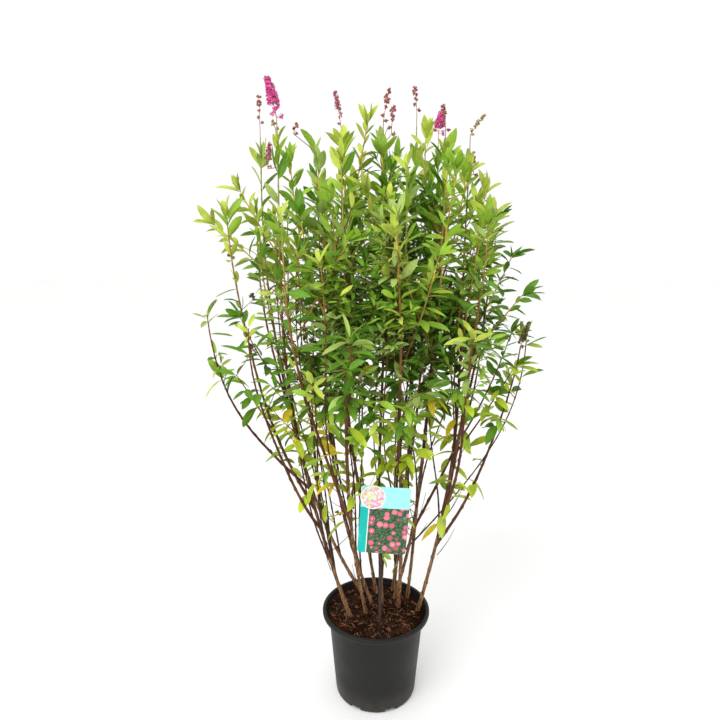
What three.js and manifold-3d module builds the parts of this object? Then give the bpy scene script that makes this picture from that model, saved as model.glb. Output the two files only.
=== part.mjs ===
// Potted spirea: an upright flowering shrub of slender leafy shoots, in a round nursery pot with a plant tag.
// Millimetres, +Z up, the front towards -Y. The origin is the centre of the pot's flat underside.
import * as THREE from 'three';
import { mergeVertices } from 'three/addons/utils/BufferGeometryUtils.js';
import Module from 'manifold-3d';

const wasm = await Module();
wasm.setup();

// ---------------------------------------------------------------- driving sizes

const GAP = 0.3; // left between two pieces that touch

const POT = {
  height: 200,
  footRadius: 88, // outside of the wall at the floor
  neckRadius: 103.5, // outside of the wall just under the rim
  rimRadius: 117,
  rimHeight: 10, // the rolled band round the top
  shoulder: 7, // height of the flare between wall and rim
  wall: 2.2,
  floor: 3,
  corner: 5, // rounding of the lower edge
  sides: 32,
  drains: 6,
  firstDrain: -67, // degrees round from +X
  drainWidth: 29,
  drainHeight: 6,
};

const SOIL_LEVEL = 186;
const STEM_START = SOIL_LEVEL + GAP;

// The crown seen from above is an oval, and its top is a shallow dome.
const CROWN = { x: -28, y: -45, halfWidth: 284, halfDepth: 190 };

// One main stem a row: its foot on the soil, the place of its tip seen from above, the height where its leafy
// shoot ends, and the bare wood's radius at the foot. Some carry a bloom: its kind, the length of its stalk
// above the last leaf, and the length of its spike.
const STEMS = [
  { name: 'a', foot: [-55, -20], tip: [-180, -70], top: 1160, radius: 4.6, bloom: ['pink', 50, 64] },
  { name: 'b', foot: [-22, -8], tip: [-66, -150], top: 1130, radius: 3.8 },
  { name: 'c', foot: [-28, 68], tip: [-229, 62], top: 1145, radius: 4.4, bloom: ['spent', 72, 52] },
  { name: 'd', foot: [4, 64], tip: [-72, 88], top: 1150, radius: 4.0, bloom: ['spent', 60, 72] },
  { name: 'e', foot: [14, 22], tip: [6, -58], top: 1165, radius: 4.4, bloom: ['spent', 40, 50] },
  { name: 'f', foot: [42, 78], tip: [76, 78], top: 1158, radius: 5.2, bloom: ['spent', 84, 46] },
  { name: 'g', foot: [50, 16], tip: [44, -145], top: 1120, radius: 4.6 },
  { name: 'h', foot: [72, 48], tip: [114, 32], top: 1135, radius: 4.0, bloom: ['pink', 60, 38] },
  { name: 'i', foot: [92, 2], tip: [156, -82], top: 1120, radius: 4.4, bloom: ['bud', 60, 30] },
  { name: 'j', foot: [40, 44], tip: [118, -44], top: 1150, radius: 3.8, bloom: ['spent', 42, 44] },
  { name: 'k', foot: [-8, 30], tip: [-116, -24], top: 1155, radius: 3.8 },
];

const STEM = {
  sides: 6,
  step: 62,
  bend: 2.7, // how early a stem leans out before it turns upright
  sway: 7,
  leafyFrom: 0.43, // share of its height where the bare stem gives way to the leafy shoot
  endRadius: 3.0,
};

// An old seed head still stands on the outermost low bough.
const OLD_HEAD = { bough: 'i1', bloom: ['seed', 4, 46] };

// Side boughs leave the stems low down and fill the outside of the crown, tall and low ones in turn.
const BOUGHS = {
  count: 16,
  firstAngle: -10,
  laterBy: 36, // how much higher the next bough of the same stem starts
  tall: { reach: 0.88, shift: 0, from: 450, top: 1040, leafyFrom: 0.26 },
  low: { reach: 0.97, shift: 24, from: 372, top: 850, leafyFrom: 0.3 }, // shifted so far towards +X
  longest: 8, // this one, a low one, reaches out past the others
  longestBy: 1.22,
  sides: 5,
  step: 48,
  bend: 1.9,
  sway: 5,
  startRadius: 3.2,
  endRadius: 2.6,
};

const SHOOT = {
  sides: 3,
  step: 95,
  stout: 1.35, // how much wider than the limb's end, because a shoot has only three sides
  tipRadius: 2.6,
  spacing: 29, // height between two leaves or side twigs
  twigEvery: 3,
  goldenAngle: 137.5,
  twig: { longest: 78, shortest: 46, radius: 1.8, steepLow: 28, steepHigh: 52 },
  leafSteepLow: 16,
  leafSteepHigh: 48,
  tuft: 4, // leaves round the tip
  tuftDrop: 6, // from one leaf of the tuft down to the next
};

// The leaves of a side twig: how far along it each is rooted, and the side it leans to.
const TWIG_LEAVES = [[0.84, 0], [0.62, 1], [0.38, -1]];

// A blade's shape as shares of its length and width. The keel is the ridge under it, deepest near the root.
const LEAF = {
  length: 84,
  width: 32,
  shoulder: 0.3,
  waist: 0.66,
  waistWidth: 0.8,
  keel: 1.7,
  keelAt: 11,
  tries: 6,
};

// How far leaves keep from bare wood, from the next shoot's space, and from each other past their roots.
const CLEAR = { limb: 5.5, neighbour: 3, leaf: 4.5, root: 14 };

// The widest radius of each kind of flower spike.
const BLOOMS = { pink: 12, spent: 6.5, bud: 5, seed: 7.5 };

// The first shoot's seed on the stems and on the boughs. The next shoots count on from it.
const SEEDS = { stems: 101, boughs: 301 };

const TAG = {
  width: 96,
  height: 142,
  thick: 1.2,
  corner: 5,
  discRadius: 25,
  centre: [12, -100, 458],
  leanDegrees: 4,
  stakeWidth: 8,
  stakeThick: 2.4,
  stakeFoot: [6, -79],
};

// ---------------------------------------------------------------- helpers

const radians = THREE.MathUtils.degToRad;
const lerp = THREE.MathUtils.lerp;

// A small seeded generator of numbers from 0 to 1.
function seeded(seed) {
  let state = seed >>> 0;
  return () => {
    state = (state + 0x6d2b79f5) >>> 0;
    let mixed = Math.imul(state ^ (state >>> 15), state | 1);
    mixed ^= mixed + Math.imul(mixed ^ (mixed >>> 7), mixed | 61);
    return ((mixed ^ (mixed >>> 14)) >>> 0) / 4294967296;
  };
}

// Bare positions with shared corners, no folded-up triangles, and every face pointing out.
function closed(geometry) {
  const bare = new THREE.BufferGeometry();
  bare.setAttribute('position', geometry.getAttribute('position').clone());
  if (geometry.index) bare.setIndex(geometry.index.clone());
  const merged = mergeVertices(bare, 1e-4);
  const position = merged.getAttribute('position');
  const corner = (i) => new THREE.Vector3().fromBufferAttribute(position, i);
  const kept = [];
  let volume = 0;
  for (let t = 0; t < merged.index.count; t += 3) {
    const [a, b, c] = [0, 1, 2].map((k) => merged.index.getX(t + k));
    if (a === b || b === c || c === a) continue;
    kept.push([a, b, c]);
    volume += corner(a).dot(corner(b).cross(corner(c)));
  }
  merged.setIndex(kept.flatMap(([a, b, c]) => (volume > 0 ? [a, b, c] : [a, c, b])));
  return merged;
}

function solidOf(geometry) {
  const shape = closed(geometry);
  return new wasm.Manifold(
    new wasm.Mesh({
      numProp: 3,
      vertProperties: new Float32Array(shape.getAttribute('position').array),
      triVerts: new Uint32Array(shape.index.array),
    }),
  );
}

function geometryOf(solid) {
  const mesh = solid.getMesh();
  const geometry = new THREE.BufferGeometry();
  geometry.setAttribute('position', new THREE.BufferAttribute(new Float32Array(mesh.vertProperties), 3));
  geometry.setIndex(new THREE.BufferAttribute(new Uint32Array(mesh.triVerts), 1));
  return geometry;
}

// Joins shapes into one body. A hollow sealed by the joining is filled, and a loose scrap is dropped.
function fused(geometries) {
  let whole = solidOf(geometries[0]);
  for (const geometry of geometries.slice(1)) whole = whole.add(solidOf(geometry));
  return whole.decompose().reduce((best, piece) => (piece.volume() > best.volume() ? piece : best));
}

function finish(colour, roughness) {
  return new THREE.MeshStandardMaterial({ color: colour, roughness, metalness: 0 });
}

const LOOKS = {
  pot: finish(0x3a3934, 0.6),
  soil: finish(0x3b2418, 0.95),
  stem: finish(0x6e4a34, 0.8),
  bough: finish(0x6a3a2c, 0.75),
  foliage: finish(0x5c9634, 0.6),
  tag: finish(0x8cf0e8, 0.45),
  stake: finish(0x3a2030, 0.6),
};

function piece(name, geometry, look) {
  const mesh = new THREE.Mesh(geometry, look);
  mesh.name = name;
  return mesh;
}

// ---------------------------------------------------------------- the lines that limbs and shoots follow

// Every limb rises all the way, so its place seen from above is a function of height. A limb is bare wood
// from `from` up to `leafy`, and a leafy shoot carries on from there to `top`.
class Line {
  constructor({ foot, tip, from, top, leafy, bend, sway, turn, radius, endRadius }) {
    Object.assign(this, { foot, tip, from, top, leafy, bend, sway, turn, radius, endRadius });
  }

  at(z) {
    const t = THREE.MathUtils.clamp((z - this.from) / (this.top - this.from), 0, 1);
    const spread = 1 - (1 - t) ** this.bend;
    const bow = this.sway * 4 * t * (1 - t);
    return [
      lerp(this.foot[0], this.tip[0], spread) + bow * Math.cos(this.turn + 5 * t),
      lerp(this.foot[1], this.tip[1], spread) + bow * Math.sin(this.turn + 5 * t),
    ];
  }

  point(z) {
    const [x, y] = this.at(z);
    return new THREE.Vector3(x, y, z);
  }

  slope(z) {
    const [below, above] = [this.at(z - 1), this.at(z + 1)];
    return [(above[0] - below[0]) / 2, (above[1] - below[1]) / 2];
  }

  // The bare wood's radius at a height.
  thickness(z) {
    const t = THREE.MathUtils.clamp((z - this.from) / (this.leafy - this.from), 0, 1);
    return lerp(this.radius, this.endRadius, t ** 0.7);
  }

  distance(x, y, z) {
    const [px, py] = this.at(z);
    return Math.hypot(x - px, y - py);
  }
}

// A round limb of that line, cut level at both ends. Each ring is level, and stretched along the lean so that
// the limb is round across its own direction.
function limbAlong(line, from, to, sides, step, radiusAt) {
  const steps = Math.max(2, Math.round((to - from) / step));
  const tube = new THREE.CylinderGeometry(1, 1, 1, sides, steps).rotateX(Math.PI / 2);
  const position = tube.getAttribute('position');
  for (let i = 0; i < position.count; i++) {
    const z = lerp(from, to, position.getZ(i) + 0.5);
    const radius = radiusAt(z);
    const [x, y] = [position.getX(i) * radius, position.getY(i) * radius];
    const [sx, sy] = line.slope(z);
    const steep = sx * sx + sy * sy;
    const stretch = steep > 1e-9 ? ((Math.sqrt(1 + steep) - 1) * (x * sx + y * sy)) / steep : 0;
    const [cx, cy] = line.at(z);
    position.setXYZ(i, cx + x + stretch * sx, cy + y + stretch * sy, z);
  }
  return tube;
}

function makeStemLines() {
  return STEMS.map((stem, order) => {
    const leafy = lerp(STEM_START, stem.top, STEM.leafyFrom);
    return new Line({
      foot: stem.foot,
      tip: stem.tip,
      from: STEM_START,
      top: stem.top,
      leafy,
      bend: STEM.bend,
      sway: STEM.sway,
      turn: order * 2.1,
      radius: stem.radius,
      endRadius: STEM.endRadius,
    });
  });
}

// Each side bough starts from the stem whose tip is nearest to its own.
function makeBoughLines(stems) {
  const taken = STEMS.map(() => 0);
  return Array.from({ length: BOUGHS.count }, (_, order) => {
    const kind = order % 2 ? BOUGHS.tall : BOUGHS.low;
    const angle = radians(BOUGHS.firstAngle + (order * 360) / BOUGHS.count);
    const reach = kind.reach * (order === BOUGHS.longest ? BOUGHS.longestBy : 1);
    const tip = [
      CROWN.x + kind.shift + CROWN.halfWidth * reach * Math.cos(angle),
      CROWN.y + CROWN.halfDepth * reach * Math.sin(angle),
    ];
    const away = stems.map((stem) => Math.hypot(stem.tip[0] - tip[0], stem.tip[1] - tip[1]));
    const parent = away.indexOf(Math.min(...away));
    const overTag = Math.abs(tip[0] - TAG.centre[0]) < TAG.width && tip[1] < TAG.centre[1];
    const lowest = overTag ? TAG.centre[2] + TAG.height / 2 + 20 : 0;
    const from = Math.max(kind.from + BOUGHS.laterBy * taken[parent], lowest);
    taken[parent] += 1;
    const line = new Line({
      foot: stems[parent].at(from),
      tip,
      from,
      top: kind.top,
      leafy: lerp(from, kind.top, kind.leafyFrom),
      bend: BOUGHS.bend,
      sway: BOUGHS.sway,
      turn: order * 1.7,
      radius: BOUGHS.startRadius,
      endRadius: BOUGHS.endRadius,
    });
    return { name: `${STEMS[parent].name}${taken[parent]}`, line, parent: stems[parent] };
  });
}

// ---------------------------------------------------------------- leafy shoots

function facets(corners, faces) {
  const shape = new THREE.BufferGeometry().setFromPoints(corners);
  shape.setIndex(faces);
  return shape;
}

// A leaf blade: a flat outline from its root round two pairs of corners and the tip, over a keel.
function leafBlade({ root, along, across, up, length, width }) {
  const corner = (a, b, c) => {
    const point = root.clone().addScaledVector(along, a);
    return point.addScaledVector(across, b).addScaledVector(up, c);
  };
  const [shoulder, waist] = [length * LEAF.shoulder, length * LEAF.waist];
  const [half, narrow] = [width / 2, (width * LEAF.waistWidth) / 2];
  const outline = [
    corner(0, 0, 0),
    corner(shoulder, half, 0),
    corner(waist, narrow, 0),
    corner(length, 0, 0),
    corner(waist, -narrow, 0),
    corner(shoulder, -half, 0),
  ];
  const keel = corner(LEAF.keelAt, 0, -LEAF.keel);
  const top = [0, 5, 1, 1, 5, 2, 5, 4, 2, 2, 4, 3];
  const underside = [0, 1, 2, 3, 4, 5].flatMap((k) => [k, (k + 1) % 6, 6]);
  return facets([...outline, keel], [...top, ...underside]);
}

// A twig of three sides that tapers to a bud.
function twigShape({ start, end }) {
  const along = end.clone().sub(start).normalize();
  const across = new THREE.Vector3(-along.y, along.x, 0).normalize();
  const up = new THREE.Vector3().crossVectors(along, across);
  const corners = [90, 210, 330].map((degrees) => {
    const [a, b] = [Math.cos(radians(degrees)), Math.sin(radians(degrees))].map((n) => n * SHOOT.twig.radius);
    return start.clone().addScaledVector(across, a).addScaledVector(up, b);
  });
  return facets([...corners, end], [0, 2, 1, 0, 1, 3, 1, 2, 3, 2, 0, 3]);
}

// The leaf's frame: its root, the way it points, and the way across it.
function leafAt(root, azimuth, steepness, roll, length) {
  const along = new THREE.Vector3(
    Math.cos(azimuth) * Math.cos(steepness),
    Math.sin(azimuth) * Math.cos(steepness),
    Math.sin(steepness),
  );
  const level = new THREE.Vector3(-Math.sin(azimuth), Math.cos(azimuth), 0);
  const across = level.applyAxisAngle(along, roll);
  const up = new THREE.Vector3().crossVectors(along, across);
  return { root, along, across, up, length, width: (LEAF.width * length) / LEAF.length };
}

function leafSamples(leaf) {
  const points = [];
  for (let i = 1; i <= 10; i++) {
    const half = Math.min(1, i / 3, (10 - i) / 3) * leaf.width * 0.5;
    for (const side of [-1, -0.5, 0, 0.5, 1]) {
      const point = leaf.root.clone().addScaledVector(leaf.along, (leaf.length * i) / 10);
      points.push(point.addScaledVector(leaf.across, side * half));
    }
  }
  return points;
}

function twigSamples(start, end) {
  return [0.2, 0.35, 0.5, 0.65, 0.8, 1].map((t) => start.clone().lerp(end, t));
}

function nearTag(point) {
  const reach = TAG.width / 2 + TAG.discRadius / 2;
  const [x, y, z] = TAG.centre;
  return Math.abs(point.x - x) < reach && Math.abs(point.y - y - 4) < 14 && point.z < z + TAG.height / 2 + 12;
}

// A point belongs to a shoot when it is nearer to that shoot's line than to any other shoot's, level with it,
// and clear of all bare wood.
function belongs(point, own, lines) {
  const { x, y, z } = point;
  const near = own.distance(x, y, z);
  if (z < own.leafy && near < own.thickness(z) + CLEAR.limb) return false;
  if (z < SOIL_LEVEL + 60 || nearTag(point)) return false;
  for (const other of lines) {
    if (other === own || z < other.from - CLEAR.limb) continue;
    const away = other.distance(x, y, z);
    if (z < other.leafy + CLEAR.limb && away < other.thickness(z) + CLEAR.limb) return false;
    if (z > other.leafy - 80 && near > away - CLEAR.neighbour) return false;
  }
  return true;
}

// Whether a leaf would cut through another of the same shoot.
function crosses(samples, other) {
  return samples.some((point) => {
    const offset = point.clone().sub(other.root);
    const along = offset.dot(other.along);
    if (along < CLEAR.root || along > other.length + 2) return false;
    if (Math.abs(offset.dot(other.up)) > CLEAR.leaf) return false;
    return Math.abs(offset.dot(other.across)) < other.width * 0.5 + 2;
  });
}

// One shoot: twigs and leaves in turn round its line, and a tuft at its tip. A leaf tries a few ways to point
// and is skipped where none keeps to the shoot's own space.
function growShoot(own, lines, random) {
  const twigs = [];
  const leaves = [];
  const fits = (points) => points.every((point) => belongs(point, own, lines));
  const addLeaf = (root, azimuth, steepness, length) => {
    for (let go = 0; go < LEAF.tries; go++) {
      const turn = azimuth + radians((random() - 0.5) * 40 * (1 + go));
      const roll = radians((random() - 0.5) * 70);
      const rise = radians(steepness + (random() - 0.5) * 24);
      const leaf = leafAt(root, turn, rise, roll, length * (1 - 0.06 * go));
      const samples = leafSamples(leaf);
      const pastRoot = samples.slice(10);
      if (fits(samples) && !leaves.some((other) => crosses(pastRoot, other))) {
        leaves.push(leaf);
        return;
      }
    }
  };
  const count = Math.round((own.top - own.leafy) / SHOOT.spacing);
  for (let node = 0; node < count; node++) {
    const height = (node + 0.4) / count;
    const z = lerp(own.leafy, own.top, height);
    const azimuth = radians(node * SHOOT.goldenAngle + own.turn * 50);
    const root = own.point(z);
    const length = LEAF.length * lerp(1.04, 0.9, height) * lerp(0.9, 1.06, random());
    if (node % SHOOT.twigEvery || height > 0.86) {
      addLeaf(root, azimuth, lerp(SHOOT.leafSteepLow, SHOOT.leafSteepHigh, height), length);
      continue;
    }
    const steepness = lerp(SHOOT.twig.steepLow, SHOOT.twig.steepHigh, height);
    const reach = lerp(SHOOT.twig.longest, SHOOT.twig.shortest, height) * lerp(0.8, 1.1, random());
    let grown = null;
    for (let go = 0; go < LEAF.tries && !grown; go++) {
      const turn = azimuth + radians((random() - 0.5) * 50 * (1 + go));
      const way = leafAt(root, turn, radians(steepness + 6 * go), 0, 1).along;
      const end = root.clone().addScaledVector(way, reach * (1 - 0.12 * go));
      if (fits(twigSamples(root, end))) grown = { start: root, end, turn };
    }
    if (!grown) {
      addLeaf(root, azimuth, steepness, length);
      continue;
    }
    twigs.push(grown);
    for (const [place, side] of TWIG_LEAVES) {
      const at = grown.start.clone().lerp(grown.end, place);
      const lateral = Math.abs(side);
      addLeaf(at, grown.turn + radians(side * 62), steepness - 12 * lateral, length * (1 - 0.08 * lateral));
    }
  }
  for (let k = 0; k < SHOOT.tuft; k++) {
    const azimuth = radians(k * (360 / SHOOT.tuft) + own.turn * 40);
    addLeaf(own.point(own.top - SHOOT.tuftDrop * (k + 0.5)), azimuth, k === 0 ? 80 : 58, LEAF.length * 0.82);
  }
  return { twigs, leaves };
}

// A flower spike, widest low down, on the end of the stalk.
function bloomShape(line, [kind, stalk, spike]) {
  const radius = BLOOMS[kind];
  const outline = [
    [0, 0],
    [radius * 0.8, spike * 0.12],
    [radius, spike * 0.36],
    [radius * 0.7, spike * 0.68],
    [0, spike],
  ].map(([r, z]) => new THREE.Vector2(r, z));
  const [x, y] = line.at(line.top);
  return new THREE.LatheGeometry(outline, 6).rotateX(Math.PI / 2).translate(x, y, line.top + stalk - 3);
}

function shootSolid(own, lines, seed, bloom) {
  const { twigs, leaves } = growShoot(own, lines, seeded(seed));
  const end = own.top + (bloom ? bloom[1] : 0);
  const wood = (z) => lerp(own.endRadius * SHOOT.stout, SHOOT.tipRadius, (z - own.leafy) / (end - own.leafy));
  const shapes = [limbAlong(own, own.leafy + GAP, end, SHOOT.sides, SHOOT.step, wood)];
  shapes.push(...twigs.map(twigShape), ...leaves.map(leafBlade));
  if (bloom) shapes.push(bloomShape(own, bloom));
  return fused(shapes);
}

// ---------------------------------------------------------------- pot, soil and tag

function wallRadius(z) {
  return lerp(POT.footRadius, POT.neckRadius, z / (POT.height - POT.rimHeight));
}

function turned(outline) {
  const points = outline.map(([r, z]) => new THREE.Vector2(r, z));
  return new THREE.LatheGeometry(points, POT.sides).rotateX(Math.PI / 2);
}

function makePot() {
  const { height, rimRadius, rimHeight, shoulder, wall, floor, corner } = POT;
  const neck = height - rimHeight - shoulder;
  const shell = turned([
    [0, 0],
    [wallRadius(0) - corner, 0],
    [wallRadius(corner), corner],
    [wallRadius(neck), neck],
    [rimRadius - 1.6, height - rimHeight],
    [rimRadius, height - rimHeight + 2],
    [rimRadius, height - 2.5],
    [rimRadius - 2, height],
    [rimRadius - 5.5, height],
    [rimRadius - 7, height - 3],
    [wallRadius(neck) - wall, neck],
    [wallRadius(floor) - wall, floor],
    [0, floor],
  ]);
  let pot = solidOf(shell);
  for (let k = 0; k < POT.drains; k++) {
    const drain = new THREE.BoxGeometry(14, POT.drainWidth, POT.drainHeight * 2);
    drain.translate(wallRadius(0), 0, 0).rotateZ(radians(POT.firstDrain + (k * 360) / POT.drains));
    pot = pot.subtract(solidOf(drain));
  }
  return geometryOf(pot);
}

function makeSoil() {
  const inside = (z) => wallRadius(z) - POT.wall - GAP;
  const edge = POT.height - POT.rimHeight - POT.shoulder - GAP;
  return closed(
    turned([
      [0, POT.floor + GAP],
      [inside(POT.floor), POT.floor + GAP],
      [inside(edge), edge],
      [inside(edge) - 4, SOIL_LEVEL],
      [0, SOIL_LEVEL],
    ]),
  );
}

// A rounded card with a disc standing out of its upper left corner.
function makeTagCard() {
  const { width, height, thick, corner, discRadius, centre, leanDegrees } = TAG;
  const [left, right, low, high] = [-width / 2, width / 2, -height / 2, height / 2];
  const card = new THREE.Shape();
  card.moveTo(left + corner, low);
  card.lineTo(right - corner, low);
  card.absarc(right - corner, low + corner, corner, -Math.PI / 2, 0);
  card.lineTo(right, high - corner);
  card.absarc(right - corner, high - corner, corner, 0, Math.PI / 2);
  card.lineTo(left + 1.7 * discRadius, high);
  card.absarc(left + discRadius * 0.8, high - discRadius * 0.9, discRadius, radians(26), radians(250));
  card.lineTo(left, high - 2 * discRadius);
  card.lineTo(left, low + corner);
  card.absarc(left + corner, low + corner, corner, Math.PI, 1.5 * Math.PI);
  const sheet = new THREE.ExtrudeGeometry(card, { depth: thick, bevelEnabled: false, curveSegments: 4 });
  sheet.translate(0, 0, -thick / 2).rotateX(Math.PI / 2).rotateY(radians(leanDegrees));
  return closed(sheet.translate(...centre));
}

// The flat stake stands in the soil and leans forward to meet the back of the card.
function makeTagStake() {
  const { stakeWidth, stakeThick, stakeFoot, centre, thick } = TAG;
  const top = centre[2] + TAG.height * 0.2;
  const behindCard = centre[1] + thick / 2 + GAP + stakeThick / 2;
  const foot = centre[2] - TAG.height / 2 - 12;
  const side = new THREE.Shape();
  side.moveTo(stakeFoot[1] - stakeThick / 2, STEM_START);
  side.lineTo(stakeFoot[1] + stakeThick / 2, STEM_START);
  side.lineTo(behindCard + stakeThick / 2, foot);
  side.lineTo(behindCard + stakeThick / 2, top);
  side.lineTo(behindCard - stakeThick / 2, top);
  side.lineTo(behindCard - stakeThick / 2, foot);
  const strip = new THREE.ExtrudeGeometry(side, { depth: stakeWidth, bevelEnabled: false });
  strip.translate(0, 0, -stakeWidth / 2);
  strip.applyMatrix4(new THREE.Matrix4().set(0, 0, 1, 0, 1, 0, 0, 0, 0, 1, 0, 0, 0, 0, 0, 1));
  return closed(strip.translate(stakeFoot[0], 0, 0));
}

// ---------------------------------------------------------------- the shrub

function makeShrub() {
  const shrub = new THREE.Group();
  const stems = makeStemLines();
  const boughs = makeBoughLines(stems);
  const lines = [...stems, ...boughs.map((bough) => bough.line)];

  stems.forEach((line, order) => {
    const wood = limbAlong(line, line.from, line.leafy, STEM.sides, STEM.step, (z) => line.thickness(z));
    shrub.add(piece(`stem_${STEMS[order].name}`, closed(wood), LOOKS.stem));
    const leafy = shootSolid(line, lines, SEEDS.stems + order, STEMS[order].bloom);
    shrub.add(piece(`foliage_${STEMS[order].name}`, geometryOf(leafy), LOOKS.foliage));
  });

  boughs.forEach(({ name, line, parent }, order) => {
    const { from } = line;
    const wood = limbAlong(line, from - 3, line.leafy, BOUGHS.sides, BOUGHS.step, (z) => line.thickness(z));
    const around = limbAlong(parent, from - 60, from + 120, 8, 60, (z) => parent.thickness(z) + GAP * 2);
    const cut = solidOf(wood).subtract(solidOf(around)).decompose();
    const bough = cut.reduce((best, part) => (part.volume() > best.volume() ? part : best));
    shrub.add(piece(`bough_${name}`, geometryOf(bough), LOOKS.bough));
    const bloom = name === OLD_HEAD.bough ? OLD_HEAD.bloom : undefined;
    const leafy = shootSolid(line, lines, SEEDS.boughs + order, bloom);
    shrub.add(piece(`foliage_${name}`, geometryOf(leafy), LOOKS.foliage));
  });
  return shrub;
}

const spirea = new THREE.Group();
spirea.add(piece('pot', makePot(), LOOKS.pot));
spirea.add(piece('soil', makeSoil(), LOOKS.soil));
spirea.add(piece('tag_card', makeTagCard(), LOOKS.tag));
spirea.add(piece('tag_stake', makeTagStake(), LOOKS.stake));
spirea.add(makeShrub());

export default spirea;
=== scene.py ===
import math
import random

import bmesh
import bpy
import numpy as np
from bpy.props import FloatProperty, FloatVectorProperty, IntProperty, PointerProperty
from mathutils import Matrix, Vector, noise


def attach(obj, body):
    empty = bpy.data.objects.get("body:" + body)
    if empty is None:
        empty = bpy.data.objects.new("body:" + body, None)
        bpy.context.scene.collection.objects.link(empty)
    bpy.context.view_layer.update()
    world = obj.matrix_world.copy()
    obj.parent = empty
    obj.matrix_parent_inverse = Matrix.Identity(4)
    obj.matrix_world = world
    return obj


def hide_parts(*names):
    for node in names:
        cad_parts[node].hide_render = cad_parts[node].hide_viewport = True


bl_info = {
    "name": "Potted spirea",
    "version": (1, 0, 0),
    "blender": (4, 5, 0),
    "location": "View3D > Sidebar > Spirea",
    "description": "Builds a flowering shrub in a nursery pot, piece by piece, round its solid parts",
    "category": "Mesh",
}

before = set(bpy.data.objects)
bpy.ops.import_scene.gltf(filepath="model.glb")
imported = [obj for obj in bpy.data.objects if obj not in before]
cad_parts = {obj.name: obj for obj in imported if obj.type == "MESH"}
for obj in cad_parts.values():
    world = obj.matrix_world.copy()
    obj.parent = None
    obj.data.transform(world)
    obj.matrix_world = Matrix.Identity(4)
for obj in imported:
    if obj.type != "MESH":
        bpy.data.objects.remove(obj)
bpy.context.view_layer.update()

GOLDEN = math.radians(137.5)
UP = Vector((0, 0, 1))

# -------------------------------- the plan of the shrub

SOIL_LEVEL = 0.190
STEM_START = 0.1863

# The crown seen from above is an oval, and its top is a shallow dome.
CROWN = {"x": -0.028, "y": -0.045, "half_width": 0.284, "half_depth": 0.190}

# How far the twigs reach at each height: the height, then the reach to the left and to the right.
OUTLINE = (
    (0.45, -0.110, 0.120),
    (0.50, -0.130, 0.135),
    (0.56, -0.165, 0.175),
    (0.62, -0.195, 0.225),
    (0.68, -0.220, 0.240),
    (0.75, -0.245, 0.250),
    (0.82, -0.255, 0.250),
    (0.90, -0.235, 0.230),
    (0.97, -0.235, 0.195),
    (1.04, -0.265, 0.190),
    (1.10, -0.235, 0.165),
    (1.16, -0.190, 0.140),
    (1.22, -0.090, 0.100),
)
DEPTH_FOR_WIDTH = 0.74

# The share of leaves and side twigs that grow at each height: few low down, all of them near the top.
FULLNESS = ((0.42, 0.02), (0.50, 0.07), (0.58, 0.17), (0.66, 0.38), (0.74, 0.60), (0.84, 0.88), (0.96, 1.0))
FULLNESS_AT_EDGE = 0.80

# Where the crown is more open than that: the centre of each gap, half its width and half its height, and the
# share of the leaves that is missing in its middle.
OPENINGS = (
    (-0.040, 0.590, 0.055, 0.060, 0.90),
    (-0.190, 0.990, 0.060, 0.200, 0.88),
    (-0.205, 0.760, 0.065, 0.110, 0.80),
    (-0.262, 0.800, 0.040, 0.120, 0.60),
    (-0.345, 0.830, 0.060, 0.070, 0.75),
    (-0.108, 1.085, 0.058, 0.150, 0.97),
    (0.050, 1.165, 0.055, 0.085, 0.97),
    (0.170, 1.120, 0.040, 0.060, 0.60),
    (0.270, 0.920, 0.050, 0.190, 0.70),
    (0.120, 0.640, 0.050, 0.070, 0.50),
    (-0.110, 0.640, 0.035, 0.070, 0.45),
)

# One main stem a row: its foot on the soil, the place of its tip seen from above, the height where its leafy
# shoot ends, and the bare wood's radius at the foot.
STEMS = {
    "a": ((-0.055, -0.020), (-0.180, -0.070), 1.160, 0.0046),
    "b": ((-0.022, -0.008), (-0.066, -0.150), 1.130, 0.0038),
    "c": ((-0.028, 0.068), (-0.229, 0.062), 1.145, 0.0044),
    "d": ((0.004, 0.064), (-0.072, 0.088), 1.150, 0.0040),
    "e": ((0.014, 0.022), (0.006, -0.058), 1.165, 0.0044),
    "f": ((0.042, 0.078), (0.076, 0.078), 1.158, 0.0052),
    "g": ((0.050, 0.016), (0.044, -0.145), 1.120, 0.0046),
    "h": ((0.072, 0.048), (0.114, 0.032), 1.135, 0.0040),
    "i": ((0.092, 0.002), (0.156, -0.082), 1.120, 0.0044),
    "j": ((0.040, 0.044), (0.118, -0.044), 1.150, 0.0038),
    "k": ((-0.008, 0.030), (-0.116, -0.024), 1.155, 0.0038),
}
STEM = {"bend": 2.7, "sway": 0.007, "leafy_from": 0.43, "turn": 2.1, "end_radius": 0.0030}

# Side boughs leave the stems low down and fill the outside of the crown, tall and low ones in turn.
BOUGHS = {
    "count": 16,
    "first_angle": -10,
    "later_by": 0.036,
    "tall": {"reach": 0.88, "shift": 0, "start": 0.450, "top": 1.040, "leafy_from": 0.26},
    "low": {"reach": 0.97, "shift": 0.024, "start": 0.372, "top": 0.850, "leafy_from": 0.30},
    "over_tag": 0.020,
    "longest": 8,
    "longest_by": 1.22,
    "bend": 1.9,
    "sway": 0.005,
    "turn": 1.7,
    "start_radius": 0.0032,
    "end_radius": 0.0026,
}

# Thin whips fill the inside of the crown. Each forks off low down from the stem that stands nearest to it.
WHIPS = {
    "count": 27,
    "first_angle": 0.9,
    "start": (0.235, 0.43),
    "reach": (0.10, 0.74),
    "top": (0.86, 1.10),
    "leafy_from": 0.45,
    "meets_stem_at": 0.55,
    "bend": 1.7,
    "sway": 0.014,
    "turn": 1.3,
    "radius": 0.0020,
    "end_radius": 0.0013,
}

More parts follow.
